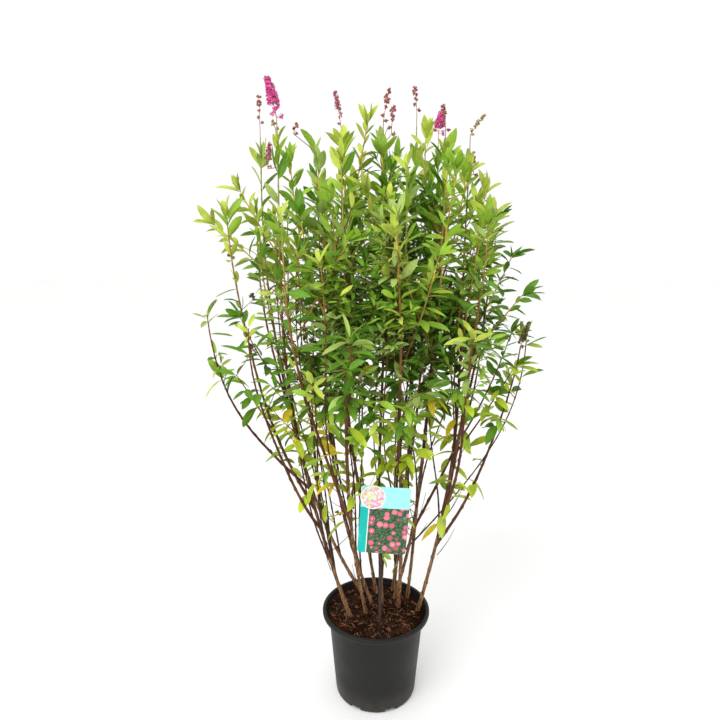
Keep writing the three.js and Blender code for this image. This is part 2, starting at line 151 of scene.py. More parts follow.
# One of them sweeps out to the right.
SWEEP = {
    "foot": (0.050, 0.030),
    "tip": (0.282, -0.052),
    "start": 0.305,
    "top": 0.815,
    "leafy": 0.56,
    "bend": 1.8,
    "sway": 0.006,
    "turn": 2.0,
    "radius": 0.0018,
    "end_radius": 0.0012,
}

# Short bare twiglets stand low down among the stems.
BARE_TWIGLETS = {
    "count": 64,
    "heights": (0.30, 0.56),
    "reach": (0.030, 0.120),
    "steepness": (25, 60),
    "lift": 18,
    "radii": (0.0009, 0.0004),
}

# Flower spikes at the tops of the stems: kind, length of the bare stalk, length of the spike, and lean to +X.
BLOOMS = {
    "a": ("pink", 0.050, 0.064, -13),
    "c": ("spent", 0.072, 0.052, 0),
    "d": ("dusty", 0.060, 0.072, -10),
    "e": ("spent", 0.040, 0.058, 11),
    "f": ("spent", 0.084, 0.046, -7),
    "h": ("pink", 0.060, 0.038, 8),
    "i": ("bud", 0.060, 0.034, 36),
    "j": ("spent", 0.042, 0.044, -9),
    "i1": ("seed", -0.046, 0.046, 16),
}

# Smaller spikes stand at these places, on stalks from the side shoots nearest to them, or from the bare wood
# where they are low down: kind, place, length and lean to +X.
SMALL_BLOOMS = (
    ("dusty", (-0.205, -0.020, 1.125), 0.044, 6),
    ("spent", (0.020, -0.060, 1.180), 0.052, 4),
    ("spent", (0.168, -0.060, 1.113), 0.036, -3),
    ("spent", (-0.155, -0.030, 1.185), 0.018, 20),
    ("bud", (-0.190, -0.010, 1.195), 0.014, -20),
    ("seed", (-0.238, -0.050, 0.885), 0.014, 0),
    ("seed", (-0.240, -0.060, 0.790), 0.012, -20),
    ("seed", (-0.278, -0.030, 0.962), 0.008, -30),
    ("spent", (0.060, 0.120, 1.120), 0.040, 5),
    ("spent", (-0.100, 0.130, 1.080), 0.034, -8),
    ("seed", (-0.066, -0.040, 0.491), 0.010, 0),
    ("seed", (-0.053, -0.040, 0.455), 0.008, 20),
    ("seed", (-0.080, -0.040, 0.440), 0.008, -20),
)
LOWEST_TWIGS = 0.60

# This year's strong shoots: the tone of their leaves, where each ends, and the place where it bends upwards.
SHOOTS = (
    ("lime", (-0.023, -0.060, 1.196), (-0.046, -0.060, 1.050)),
    ("fresh", (0.004, -0.090, 1.140), (0.009, -0.080, 1.040)),
    ("lime", (-0.062, -0.100, 1.150), (-0.052, -0.070, 1.045)),
    ("lime", (0.082, -0.050, 1.172), (0.078, -0.040, 1.080)),
    ("fresh", (0.114, -0.110, 1.122), (0.115, -0.070, 1.020)),
    ("lime", (0.150, -0.090, 1.108), (0.141, -0.070, 1.000)),
    ("lime", (0.182, -0.100, 1.076), (0.176, -0.080, 0.945)),
    ("lime", (-0.022, -0.140, 1.076), (-0.004, -0.110, 0.990)),
    ("lime", (0.020, -0.224, 1.012), (0.054, -0.150, 0.888)),
    ("lime", (-0.298, -0.060, 1.024), (-0.190, -0.040, 0.922)),
    ("lime", (-0.262, 0.010, 1.084), (-0.205, 0.000, 0.975)),
    ("fresh", (-0.160, -0.145, 0.996), (-0.102, -0.110, 0.900)),
    ("fresh", (-0.055, -0.180, 1.000), (-0.112, -0.135, 0.903)),
    ("fresh", (0.119, -0.178, 1.104), (0.103, -0.125, 0.960)),
    ("fresh", (0.177, -0.125, 1.020), (0.158, -0.095, 0.885)),
    ("fresh", (0.091, -0.215, 0.978), (0.074, -0.155, 0.865)),
    ("fresh", (-0.086, -0.120, 1.062), (-0.071, -0.100, 0.950)),
    ("mid", (-0.138, -0.120, 1.040), (-0.125, -0.090, 0.925)),
    ("pale", (-0.108, -0.090, 1.116), (-0.104, -0.070, 1.010)),
    ("fresh", (-0.159, -0.060, 1.128), (-0.152, -0.050, 1.010)),
    ("mid", (0.248, -0.040, 0.963), (0.208, -0.022, 0.855)),
    ("mid", (0.258, -0.095, 0.900), (0.201, -0.075, 0.820)),
    ("mid", (0.230, 0.020, 1.030), (0.200, 0.002, 0.935)),
    ("low", (0.255, -0.080, 0.762), (0.212, -0.055, 0.665)),
    ("mid", (0.250, -0.060, 0.822), (0.222, -0.044, 0.705)),
    ("mid", (-0.252, -0.100, 0.860), (-0.226, -0.065, 0.765)),
    ("mid", (-0.272, -0.060, 0.742), (-0.235, -0.044, 0.675)),
    ("fresh", (0.035, 0.146, 1.130), (0.040, 0.105, 0.960)),
    ("lime", (-0.120, 0.142, 1.090), (-0.110, 0.098, 0.930)),
    ("fresh", (0.140, 0.095, 1.080), (0.130, 0.070, 0.920)),
    ("lime", (-0.215, 0.085, 1.020), (-0.190, 0.060, 0.870)),
    ("fresh", (0.190, 0.060, 0.980), (0.175, 0.050, 0.850)),
    ("fresh", (-0.040, 0.176, 0.960), (-0.035, 0.132, 0.830)),
    ("mid", (-0.055, -0.252, 0.800), (-0.062, -0.205, 0.712)),
)

# Young leaves sprout from the bare wood at these places, and yellow leaves hang at those that follow.
SPROUTS = (
    (0.010, -0.020, 0.340),
    (0.016, -0.020, 0.328),
    (0.030, -0.030, 0.334),
    (0.000, -0.020, 0.350),
)
TURNING = (
    (-0.182, -0.080, 0.679),
    (-0.150, -0.080, 0.659),
    (-0.092, -0.100, 0.615),
    (-0.084, -0.080, 0.535),
    (0.100, -0.100, 0.705),
    (0.128, -0.080, 0.659),
    (0.122, -0.060, 0.617),
    (0.087, -0.080, 0.714),
    (-0.065, -0.080, 0.466),
    (-0.073, -0.120, 0.609),
    (-0.095, -0.120, 0.649),
    (0.097, -0.040, 0.425),
    (-0.020, -0.130, 0.760),
    (0.040, -0.110, 0.590),
    (0.020, 0.080, 0.600),
    (-0.110, 0.060, 0.560),
)

SINGLE_LEAVES = (("lime", SPROUTS, 0.030), ("yellow", TURNING, 0.048))

TAG = {
    "width": 0.096,
    "height": 0.142,
    "thick": 0.0012,
    "sheet": 0.0008,
    "bow": 0.0016,
    "corner": 0.005,
    "centre": (0.012, -0.100, 0.458),
    "lean": 4,
    "header": 0.0445,
    "side_strip": 0.0168,
    "disc_radius": 0.025,
    "disc_edge": 0.0022,
    "stake_width": 0.008,
    "stake_thick": 0.0024,
    "stake_narrow": 0.55,
    "stake_foot": (0.006, -0.079),
    "stake_knee": 0.012,
}

# The drainage notches in the pot's foot, and the hollow under its floor. The first is turned so far from +X.
DRAIN = {"first": -69.5, "width": 0.025, "height": 0.0085, "recess": 0.010, "ring": 0.0075}

# The rim's outer side below its rolled edge: inwards from its radius, and up from its foot.
RIM_SIDE = ((0.0085, -0.0036), (0.0040, -0.0014), (0.0016, 0.0001), (0.0004, 0.0014), (0, 0.0032))

# The compost: the rates and heights of its swells and lumps, the rise round each stem, how far it keeps from
# the rim, the wall and the floor, and the sizes of what lies on it.
SOIL = {
    "swells": ((22, 0.9), (75, 0.55)),
    "lumps": ((260, 0.45), (620, 0.25)),
    "mound": 0.0022,
    "mound_radius": 0.016,
    "from_rim": 0.0110,
    "from_wall": 0.0006,
    "from_floor": 0.0034,
    "crumb": (0.0006, 0.0021, 2.2),
    "chip": (0.003, 0.008, 2.5),
    "chip_width": (0.3, 0.7),
    "chip_thickness": (0.0006, 0.0013),
    "fibre": (0.004, 0.013),
    "fibre_radii": (0.00026, 0.00014),
}

# Bare wood by kind: how deep it is set in what it grows from, its sides, the step between its rings, and how
# near its buds stand. The overlap is how far it reaches into its leafy shoot.
LIMBS = {
    "stem": {"below": 0.006, "sides": 12, "step": 0.0042, "buds": 1.0},
    "bough": {"below": 0.003, "sides": 10, "step": 0.0045, "buds": 0.85},
    "whip": {"below": 0.004, "sides": 7, "step": 0.005, "buds": 0.8},
}
LIMB_OVERLAP = 0.002
SHOOT_TIP_RADIUS = 0.0010

# Which of five places in turn along a leafy shoot carry side twigs, and how long these are for the setting.
LEADERS = {
    "stems": {"twigs": (0, 2), "vigour": 1.0},
    "boughs": {"twigs": (0, 3), "vigour": 0.85},
    "whips": {"twigs": (0, 2), "vigour": 0.9},
}
LEADER_OVERLAP = 0.05

# Twigs by kind: radii at the root and at the tip, sides and rings, and how much paler than the boughs' bark.
TWIGS = {
    "young": {"radii": (0.0022, 0.0009), "sides": 6, "rings": 9},
    "side": {"radii": (0.0010, 0.0005), "sides": 5, "rings": 7, "paler": 1.2},
    "fine": {"radii": (0.0006, 0.0004), "sides": 4, "rings": 4, "paler": 1.5},
}

# Leaves stand steeper above one height and droop below the other, fully so that much higher or lower. On
# twiglets and strong shoots they stand close together.
STEEP_FROM = (0.84, 0.26)
DROOPS_FROM = (0.80, -0.20)
CLOSE_SPACING = 0.0075
PETIOLE = 0.06

# The tufts at the tips of twigs: the number of leaves, their sizes, and how far they open.
TWIG_TUFT = (3, (0.55, 0.85), (8, 26))
SHOOT_TUFT = (3, (0.7, 1.0), (10, 34))

# The colour of a spray: mostly pale below this height. Above it, sprays higher up and farther out get lighter
# tones and those deep inside darker green: partly young and old leaves, partly painted light and painted
# shade.
# The outer leaves at a twig's tip are a step lighter still: young tips, with painted light on the crown's
# outside.
LOW_CROWN = 0.72
LOW_TONES = ("low", "low", "low", "fresh", "mid")
PALE_SHARE = 0.16
LIGHT_TONES = ((0.78, "lime"), (0.50, "fresh"), (0.16, "mid"))
YOUNGER_AND_LIT = {"fresh": "lime", "mid": "fresh", "deep": "mid"}

# A leaf's row of numbers: three each for its root, its direction and the way its face looks, and then these.
LEAF_SHAPE = ("length", "width", "arch", "cup", "twist")
LENGTH_COLUMN = 9

# The rows of faces in a blade: more in leaves that are longer than this.
BLADE_ROWS = {"long": 10, "short": 6}
LONG_LEAF = 0.034
RIB = {"end": 0.90, "radii": (0.00058, 0.00016), "sides": 3, "rings": 5}

# Flower spikes: the distance between whorls, the clusters in a whorl and their distance from the axis, a
# cluster's radius, its flowers and their size, how much of the spike has single clusters, and the form.
SPIKE_NAMES = ("apart", "clusters", "off_axis", "cluster", "flowers", "flower", "loose", "pattern")
SPIKES = {
    "pink": (0.0040, 5, 0.0074, 0.0044, 13, 0.0023, 0.30, "floret"),
    "dusty": (0.0060, 3, 0.0044, 0.0038, 13, 0.0018, 0.40, "floret"),
    "spent": (0.0070, 2, 0.0042, 0.0031, 12, 0.0015, 0.45, "capsule"),
    "bud": (0.0056, 2, 0.0034, 0.0026, 9, 0.0014, 0.30, "capsule"),
    "seed": (0.0042, 4, 0.0036, 0.0028, 8, 0.0014, 0.20, "capsule"),
}
SPIKES = {kind: dict(zip(SPIKE_NAMES, sizes)) for kind, sizes in SPIKES.items()}
STALK_RADII = {"stalk": (0.0009, 0.0007), "axis": (0.0007, 0.0004), "cluster": (0.0003, 0.0002)}

LAMP = {"place": (-0.9, -1.5, 2.5), "aim": (0, 0, 0.7), "size": 1.6}
SENSOR_WIDTH = 36

TONES = ("lime", "fresh", "pale", "mid", "deep", "low", "yellow")
SEEDS = {
    "stems": 11,
    "boughs": 41,
    "whips": 71,
    "shoots": 941,
    "twiglets": 97,
    "soil": 5,
    "blooms": 23,
    "low_leaves": 7,
}


# -------------------------------- settings that a user would change


def length_setting(name, description, default):
    return FloatProperty(name=name, description=description, default=default, unit="LENGTH")


def colour_setting(name, description, default):
    return FloatVectorProperty(name=name, description=description, default=default, subtype="COLOR")


class PotSettings(bpy.types.PropertyGroup):
    """The nursery pot."""

    height: length_setting("Height", "From the foot to the top of the rim", 0.200)
    foot_radius: length_setting("Foot", "Outer radius at the foot", 0.0880)
    neck_radius: length_setting("Neck", "Outer radius under the rim", 0.1035)
    rim_radius: length_setting("Rim", "Outer radius of the rim", 0.1170)
    rim_height: length_setting("Rim height", "Height of the rolled rim", 0.010)
    wall: length_setting("Wall", "Thickness of the wall", 0.0022)
    drains: IntProperty(name="Drains", description="Notches in the foot", default=7)
    colour: colour_setting("Colour", "Colour of the plastic", (0.0063, 0.0060, 0.0045))


class SoilSettings(bpy.types.PropertyGroup):
    """The compost in the pot."""

    crumbs: IntProperty(name="Crumbs", description="Loose crumbs on the surface", default=3800)
    chips: IntProperty(name="Chips", description="Chips of bark", default=64)
    fibres: IntProperty(name="Fibres", description="Pale root fibres", default=260)
    relief: length_setting("Relief", "Height of the lumps", 0.0035)
    colour: colour_setting("Colour", "Colour of the compost", (0.0185, 0.0078, 0.0030))
    chip_colour: colour_setting("Chip colour", "Colour of the bark chips", (0.150, 0.040, 0.020))


class LimbSettings(bpy.types.PropertyGroup):
    """The bark of the stems, boughs and twigs."""

    relief: FloatProperty(name="Relief", description="Depth of the bark for the limb's radius", default=0.07)
    bud_spacing: length_setting("Buds", "Between two buds on bare wood", 0.034)
    old_colour: colour_setting("Old bark", "Colour near the soil", (0.290, 0.148, 0.066))
    bark_colour: colour_setting("Bark", "Colour higher up", (0.096, 0.037, 0.017))
    young_colour: colour_setting("Young bark", "Colour of this year's shoots", (0.520, 0.300, 0.070))
    dark_colour: colour_setting("Thin wood", "Colour of thin old wood", (0.060, 0.027, 0.016))


class LeafSettings(bpy.types.PropertyGroup):
    """The leaves: their size, how near they stand, and a colour for each tone."""

    length: length_setting("Length", "Length of a full-grown leaf", 0.050)
    slender: FloatProperty(name="Slenderness", description="Width as a share of the length", default=0.34)
    spacing: length_setting("Spacing", "Along a shoot from leaf to leaf", 0.0105)
    lateral: length_setting("Side twigs", "Length of the longest", 0.150)
    # Lime and fresh go to sprays high up and outside, deep green to sprays inside the crown: these tones are
    # partly the leaves' age and partly painted light and painted shade.
    lime: colour_setting("Lime", "Youngest leaves", (0.440, 0.530, 0.070))
    fresh: colour_setting("Fresh", "Leaves of the upper shoots", (0.275, 0.450, 0.040))
    pale: colour_setting("Pale", "Leaves that show their paler backs", (0.330, 0.450, 0.105))
    mid: colour_setting("Mid green", "Full-grown leaves", (0.112, 0.262, 0.018))
    deep: colour_setting("Deep green", "Old leaves inside the crown", (0.066, 0.165, 0.010))
    low: colour_setting("Low leaves", "Pale leaves low down", (0.440, 0.560, 0.034))
    yellow: colour_setting("Turning", "Leaves about to fall", (0.860, 0.620, 0.035))


class BloomSettings(bpy.types.PropertyGroup):
    """The flower spikes."""

    pink: colour_setting("Pink", "Open flowers", (0.740, 0.085, 0.350))
    dusty: colour_setting("Dusty", "Fading flowers", (0.500, 0.140, 0.190))
    spent: colour_setting("Spent", "Faded flowers", (0.300, 0.090, 0.092))
    bud: colour_setting("Buds", "Unopened flowers", (0.340, 0.280, 0.100))
    seed: colour_setting("Seed", "Old seed heads", (0.100, 0.080, 0.030))


class TagSettings(bpy.types.PropertyGroup):
    """The plant tag."""

    header: colour_setting("Header", "Top band", (0.370, 0.950, 0.890))
    strip: colour_setting("Strip", "Side band", (0.004, 0.480, 0.420))
    ground: colour_setting("Ground", "Behind the dots", (0.026, 0.062, 0.036))
    dots: colour_setting("Dots", "Pattern of dots", (0.720, 0.150, 0.230))
    stake: colour_setting("Stake", "Plastic strip", (0.034, 0.018, 0.014))


class StageSettings(bpy.types.PropertyGroup):
    """Floor, light and camera."""

    floor: length_setting("Floor", "Half the width of the floor", 9.0)
    floor_colour: colour_setting("Floor colour", "Colour of the floor", (0.975, 0.973, 0.965))
    sky: FloatProperty(name="Sky", description="Strength of the white surroundings", default=1.03)
    key: FloatProperty(name="Key", description="Power of the large light", default=34.0, subtype="POWER")
    camera_height: length_setting("Camera height", "Above the floor", 1.054)
    camera_distance: length_setting("Distance", "In front of the pot", 1.253)
    camera_side: length_setting("Side", "Off the pot's axis", -0.035)
    camera_tilt: FloatProperty(name="Tilt", description="Degrees down from level", default=13.29)
    lens: FloatProperty(name="Lens", description="Focal length in millimetres", default=32.1)


class SpireaSettings(bpy.types.PropertyGroup):
    """All settings of the plant, its pot and its stage."""

    pot: PointerProperty(type=PotSettings)
    soil: PointerProperty(type=SoilSettings)
    limbs: PointerProperty(type=LimbSettings)
    leaves: PointerProperty(type=LeafSettings)
    blooms: PointerProperty(type=BloomSettings)
    tag: PointerProperty(type=TagSettings)
    stage: PointerProperty(type=StageSettings)


# -------------------------------- materials


class Wire:
    """A value in a material. Arithmetic on it adds Math nodes to that material."""

    def __init__(self, finish, socket):
        self.finish = finish
        self.socket = socket

    def maths(self, operation, *values):
        return self.finish.node("ShaderNodeMath", dict(enumerate(values)), operation=operation)

    def __add__(self, other):
        return self.maths("ADD", self, other)

    def __radd__(self, other):
        return self.maths("ADD", other, self)

    def __sub__(self, other):
        return self.maths("SUBTRACT", self, other)

    def __rsub__(self, other):
        return self.maths("SUBTRACT", other, self)

    def __mul__(self, other):
        return self.maths("MULTIPLY", self, other)

    def __rmul__(self, other):
        return self.maths("MULTIPLY", other, self)

    def __gt__(self, other):
        return self.maths("GREATER_THAN", self, other)

    def __lt__(self, other):
        return self.maths("LESS_THAN", self, other)

    def __abs__(self):
        return self.maths("ABSOLUTE", self)


class Finish:
    """One material while it is being made."""

    def __init__(self, name, roughness=0.6, specular=0.4, coat_roughness=None):
        self.material = bpy.data.materials.new(name)
        self.material.use_nodes = True
        self.tree = self.material.node_tree
        self.shader = self.tree.nodes["Principled BSDF"]
        self.shader.inputs["Roughness"].default_value = roughness
        self.shader.inputs["Specular IOR Level"].default_value = specular
        if coat_roughness is not None:
            self.shader.inputs["Coat Roughness"].default_value = coat_roughness

    def node(self, kind, inputs=None, output=0, stops=None, **settings):
        """Adds a node: its settings first, then a ramp's stops, then what goes into its sockets."""
        node = self.tree.nodes.new(kind)
        for setting, value in settings.items():
            setattr(node, setting, value)
        if stops:
            elements = node.color_ramp.elements
            elements.remove(elements[-1])
            for place, colour in stops:
                element = elements.new(place) if place else elements[0]
                element.color = (*colour, 1)
        for socket, value in (inputs or {}).items():
            self.plug(node.inputs[socket], value)
        return Wire(self, node.outputs[output])

    def plug(self, socket, value):
        if isinstance(value, Wire):
            self.tree.links.new(value.socket, socket)
        elif socket.type == "RGBA":
            socket.default_value = (*value[:3], 1)
        else:
            socket.default_value = value

    def place(self, source="Object"):
        return self.node("ShaderNodeTexCoord", output=source)

    def parts(self, vector):
        """A vector's X, Y and Z."""
        split = self.node("ShaderNodeSeparateXYZ", {0: vector}).socket.node
        return [Wire(self, socket) for socket in split.outputs]

    def stretched(self, vector, scale):
        return self.node("ShaderNodeMapping", {"Vector": vector, "Scale": scale})

    def cloud(self, vector, scale, detail=3.0, roughness=0.5):
        return self.node(
            "ShaderNodeTexNoise", {"Vector": vector, "Scale": scale, "Detail": detail, "Roughness": roughness}
        )

    def ramp(self, value, *stops):
        return self.node("ShaderNodeValToRGB", {0: value}, stops=stops)

    def spread(self, value, low, high, to_low=0.0, to_high=1.0):
        """The value moved from one range to another, and kept within it."""
        return self.node("ShaderNodeMapRange", {0: value, 1: low, 2: high, 3: to_low, 4: to_high})

    def blend(self, share, first, second):
        return self.node("ShaderNodeMix", {0: share, 6: first, 7: second}, output=2, data_type="RGBA")

    def tinted(self, colour, value, low, high):
        """A colour made darker and lighter with a value that runs from 0 to 1."""
        dark = [channel * low for channel in colour]
        light = [min(channel * high, 1.0) for channel in colour]
        return self.blend(self.spread(value, 0.3, 0.7), dark, light)

    def bump(self, height, strength, distance):
        normal = self.node("ShaderNodeBump", {"Height": height, "Strength": strength, "Distance": distance})
        self.plug(self.shader.inputs["Normal"], normal)

    def colour(self, value):
        self.plug(self.shader.inputs["Base Color"], value)

    def roughness(self, value):
        self.plug(self.shader.inputs["Roughness"], value)


# Colours that stay the same whatever the settings say.
DUST = (0.20, 0.17, 0.13)
CHIP_STREAK = (0.34, 0.17, 0.09)
FIBRE = (0.46, 0.29, 0.17)
BARK_CRACK = (0.036, 0.018, 0.011)
BARK_FLAKE = (0.480, 0.300, 0.165)
YOUNG_BARK_LOW = (0.150, 0.066, 0.027)
SHOOT_AGES = ((0.35, (0.230, 0.090, 0.030)), (0.7, (0.430, 0.230, 0.060)), (1.0, (0.330, 0.330, 0.070)))
SHOOT_CRACK = (0.050, 0.020, 0.012)
STALK_BARK = (0.36, 0.20, 0.12)
PANEL_LEAF = (0.085, 0.210, 0.080)
DOT_HEART = (0.95, 0.75, 0.72)
CARD_LINE = (0.86, 0.88, 0.86)
CARD_WEAR = (0.80, 0.86, 0.84)
BADGE_EDGE = (0.90, 0.90, 0.88)
BADGE_FLECKS = (
    (0.0, (0.85, 0.85, 0.80)),
    (0.45, (0.62, 0.78, 0.30)),
    (0.65, (0.80, 0.25, 0.48)),
    (1.0, (0.93, 0.72, 0.80)),
)

# For each kind of spike: the finish's name, how much darker and lighter it gets, and the other colour in it.
PETALS = {
    "pink": ("pink petals", 0.72, 1.30, (0.88, 0.30, 0.55)),
    "dusty": ("dusty petals", 0.5, 1.6, (0.62, 0.25, 0.30)),
    "spent": ("spent flowers", 0.45, 1.7, (0.42, 0.20, 0.13)),
    "bud": ("flower buds", 0.5, 1.6, (0.30, 0.20, 0.08)),
    "seed": ("seed heads", 0.4, 1.9, (0.24, 0.20, 0.09)),
}


def pot_finish(colour):
    """Matt black moulded plastic with a fine grain, a little dust and dull patches."""
    finish = Finish("pot plastic", specular=0.28)
    place = finish.place()
    grain = finish.cloud(place, 2600, 2)
    patches = finish.cloud(place, 14, 4)
    height = finish.parts(place)[2]
    dust = finish.spread(height, 0.05, 0.0, 0.0, 0.35) * finish.cloud(place, 60, 4)
    finish.colour(finish.blend(dust, finish.tinted(colour, patches, 0.85, 1.2), DUST))
    shine = finish.spread(patches, 0.3, 0.7, 0.46, 0.60)
    finish.roughness(shine + finish.spread(grain, 0.4, 0.6, -0.03, 0.03))
    rings = finish.cloud(finish.stretched(place, (1, 1, 40)), 9, 2)
    finish.bump(grain * 0.5 + rings * 0.6, strength=0.22, distance=0.0006)
    return finish.material


def soil_finish(name, colour, light=2.4, scale=210):
    """Moist compost: dark crumbs with paler and redder ones among them, in patches."""
    finish = Finish(name, roughness=0.92, specular=0.08)
    place = finish.place()
    crumbs = finish.node("ShaderNodeTexVoronoi", {"Vector": place, "Scale": scale}, output="Color")
    red, green, _ = finish.parts(crumbs)
    reddish = [min(colour[0] * 2.4, 1), colour[1] * 1.5, colour[2] * 1.1]
    tan = [colour[0] * 3.8, colour[1] * 2.0, colour[2] * 1.9]
    moist = [channel * 0.3 for channel in colour]
    body = finish.tinted(colour, red, 0.22, light)
    body = finish.blend(finish.spread(green, 0.70, 0.95, 0.0, 0.7), body, reddish)
    body = finish.blend(finish.spread(finish.cloud(place, 40, 2), 0.54, 0.64, 0.0, 0.75), body, tan)
    body = finish.blend(finish.spread(finish.cloud(place, 17, 2), 0.40, 0.56, 0.65, 0.0), body, moist)
    finish.colour(body)
    finish.bump(finish.cloud(place, 900, 4), strength=0.6, distance=0.0012)
    return finish.material


def chip_finish(colour):
    """Chips of bark, with paler streaks."""
    finish = Finish("bark chips", roughness=0.75, specular=0.3)
    place = finish.place()
    patches = finish.cloud(place, 90, 3)
    streaks = finish.cloud(finish.stretched(place, (1, 4, 1)), 420, 3)
    body = finish.tinted(colour, patches, 0.30, 1.25)
    finish.colour(finish.blend(finish.spread(streaks, 0.46, 0.80), body, CHIP_STREAK))
    finish.bump(streaks, strength=0.5, distance=0.0008)
    return finish.material


def fibre_finish():
    """Pale root fibres, some darker than others."""
    finish = Finish("root fibres", roughness=0.7, specular=0.3)
    finish.colour(finish.tinted(FIBRE, finish.cloud(finish.place(), 120, 2), 0.30, 1.7))
    return finish.material


def stem_finish(limbs):
    """Bark that is tan and streaked near the soil, and smooth reddish brown higher up."""
    finish = Finish("stem bark", specular=0.15)
    place = finish.place()
    height = finish.parts(place)[2]
    streaks = finish.cloud(finish.stretched(place, (1, 1, 0.07)), 330, 4, 0.65)
    blotches = finish.cloud(place, 46, 3)
    age = finish.spread(height + blotches * 0.12, 0.28, 0.68)
    body = finish.blend(age, limbs.old_colour, limbs.bark_colour)
    body = finish.blend(finish.spread(streaks, 0.38, 0.53, 0.92, 0.0), body, BARK_CRACK)
    body = finish.blend(finish.spread(streaks, 0.53, 0.66, 0.0, 0.70), body, BARK_FLAKE)
    finish.colour(body)
    finish.roughness(finish.spread(streaks, 0.3, 0.7, 0.55, 0.8))
    finish.bump(streaks, strength=0.6, distance=0.0007)
    return finish.material


def fine_streaks(finish, place):
    return finish.cloud(finish.stretched(place, (1, 1, 0.12)), 700, 3)


def bark_finish(name, colour, low_colour=None):
    """Smooth bark of thinner wood, with fine streaks and small pale pores. Low down it may be darker."""
    finish = Finish(name, roughness=0.65, specular=0.14)
    place = finish.place()
    streaks = fine_streaks(finish, place)
    patches = finish.cloud(place, 22, 2)
    body = finish.tinted(colour, patches * 0.6 + streaks * 0.4, 0.42, 1.9)
    if low_colour:
        height = finish.parts(place)[2]
        body = finish.blend(finish.spread(height + patches * 0.10, 0.82, 0.98), low_colour, body)
    pores = finish.node("ShaderNodeTexVoronoi", {"Vector": place, "Scale": 520})
    pale = [min(channel * 2.2 + 0.012, 1) for channel in colour]
    finish.colour(finish.blend(finish.spread(pores, 0.16, 0.05, 0.0, 0.6), body, pale))
    finish.bump(streaks, strength=0.4, distance=0.0004)
    return finish.material


def leader_finish(limbs):
    """The long shoots: dark red-brown low down, turning tan and then green towards their tips."""
    finish = Finish("shoot bark", roughness=0.65, specular=0.14)
    place = finish.place()
    height = finish.parts(place)[2]
    patches = finish.cloud(place, 9, 2)
    age = finish.spread(height + patches * 0.30, 0.86, 1.20)
    streaks = fine_streaks(finish, place)
    body = finish.ramp(age, (0.0, limbs.bark_colour), *SHOOT_AGES)
    finish.colour(finish.blend(finish.spread(streaks, 0.35, 0.6, 0.45, 0.0), body, SHOOT_CRACK))
    finish.bump(streaks, strength=0.4, distance=0.0004)
    return finish.material


def leaf_finish(tone, colour):
    """A satin leaf: tone shifts from leaf to leaf, paler along the middle, with soft side veins."""
    finish = Finish(f"leaf {tone}", roughness=0.55, specular=0.20)
    place = finish.place()
    drift = finish.cloud(place, 26, 2)
    mottle = finish.cloud(place, 240, 3)
    body = finish.tinted(colour, drift * 0.85 + mottle * 0.15, 0.70, 1.30)
    across, along, _ = finish.parts(finish.place("UV"))
    off_middle = abs(across - 0.5)
    vein = finish.node("ShaderNodeMath", {0: (along * 46.0) - (off_middle * 34.0)}, operation="SINE")
    paler = [min(channel * 1.25 + 0.03, 1) for channel in colour]
    finish.colour(finish.blend(finish.spread(off_middle, 0.07, 0.0, 0.0, 0.55), body, paler))
    finish.roughness(finish.spread(mottle, 0.35, 0.65, 0.48, 0.62))
    finish.bump(vein * 0.5 - finish.spread(off_middle, 0.08, 0.0), strength=0.25, distance=0.0006)
    return finish.material


def petal_finish(kind, colour):
    """Soft matt petals, or dry husks, that vary from one to the next."""
    name, low, high, other = PETALS[kind]
    finish = Finish(name, roughness=0.7, specular=0.25)
    place = finish.place()
    body = finish.tinted(colour, finish.cloud(place, 160, 2), low, high)
    finish.colour(finish.blend(finish.spread(finish.cloud(place, 330, 2), 0.50, 0.62), body, other))
    finish.bump(finish.cloud(place, 1400, 2), strength=0.4, distance=0.0004)
    return finish.material


def card_place(finish):
    """The card's own upright coordinates, from its centre."""
    lean = (0, math.radians(TAG["lean"]), 0)
    middle = {"Vector": finish.place(), "Location": TAG["centre"], "Rotation": lean}
    return finish.node("ShaderNodeMapping", middle, vector_type="TEXTURE")


def card_finish(tag):
    """Printed plastic: a plain header and side strip, and a panel with a pattern of pink rosettes."""
    finish = Finish("printed card", roughness=0.32, specular=0.2, coat_roughness=0.2)
    place = card_place(finish)
    across, _, up = finish.parts(place)
    dotted = {"Vector": place, "Scale": 76.0, "Randomness": 0.60}
    cells = finish.node("ShaderNodeTexVoronoi", dotted)
    hue = finish.node("ShaderNodeTexVoronoi", dotted, output="Color")
    leaves = finish.cloud(place, 260, 4)
    ground = finish.blend(finish.spread(leaves, 0.45, 0.62), tag.ground, PANEL_LEAF)
    rosette = finish.spread(cells + leaves * 0.45, 0.72, 0.62)
    dots = finish.tinted(tag.dots, finish.parts(hue)[0], 0.7, 1.35)
    dots = finish.blend(finish.spread(cells, 0.16, 0.08), dots, DOT_HEART)
    panel = finish.blend(rosette, ground, dots)
    header = TAG["height"] * 0.5 - TAG["header"]
    left = -TAG["width"] / 2 + TAG["side_strip"]
    body = finish.blend(across < left, panel, tag.strip)
    body = finish.blend(abs(across - left) < 0.0009, body, CARD_LINE)
    body = finish.blend(up > header, body, tag.header)
    wear = finish.cloud(place, 40, 3)
    finish.colour(finish.blend(finish.spread(wear, 0.62, 0.8, 0.0, 0.25), body, CARD_WEAR))
    finish.roughness(finish.spread(wear, 0.3, 0.7, 0.25, 0.42))
    finish.shader.inputs["Coat Weight"].default_value = 0.08
    return finish.material


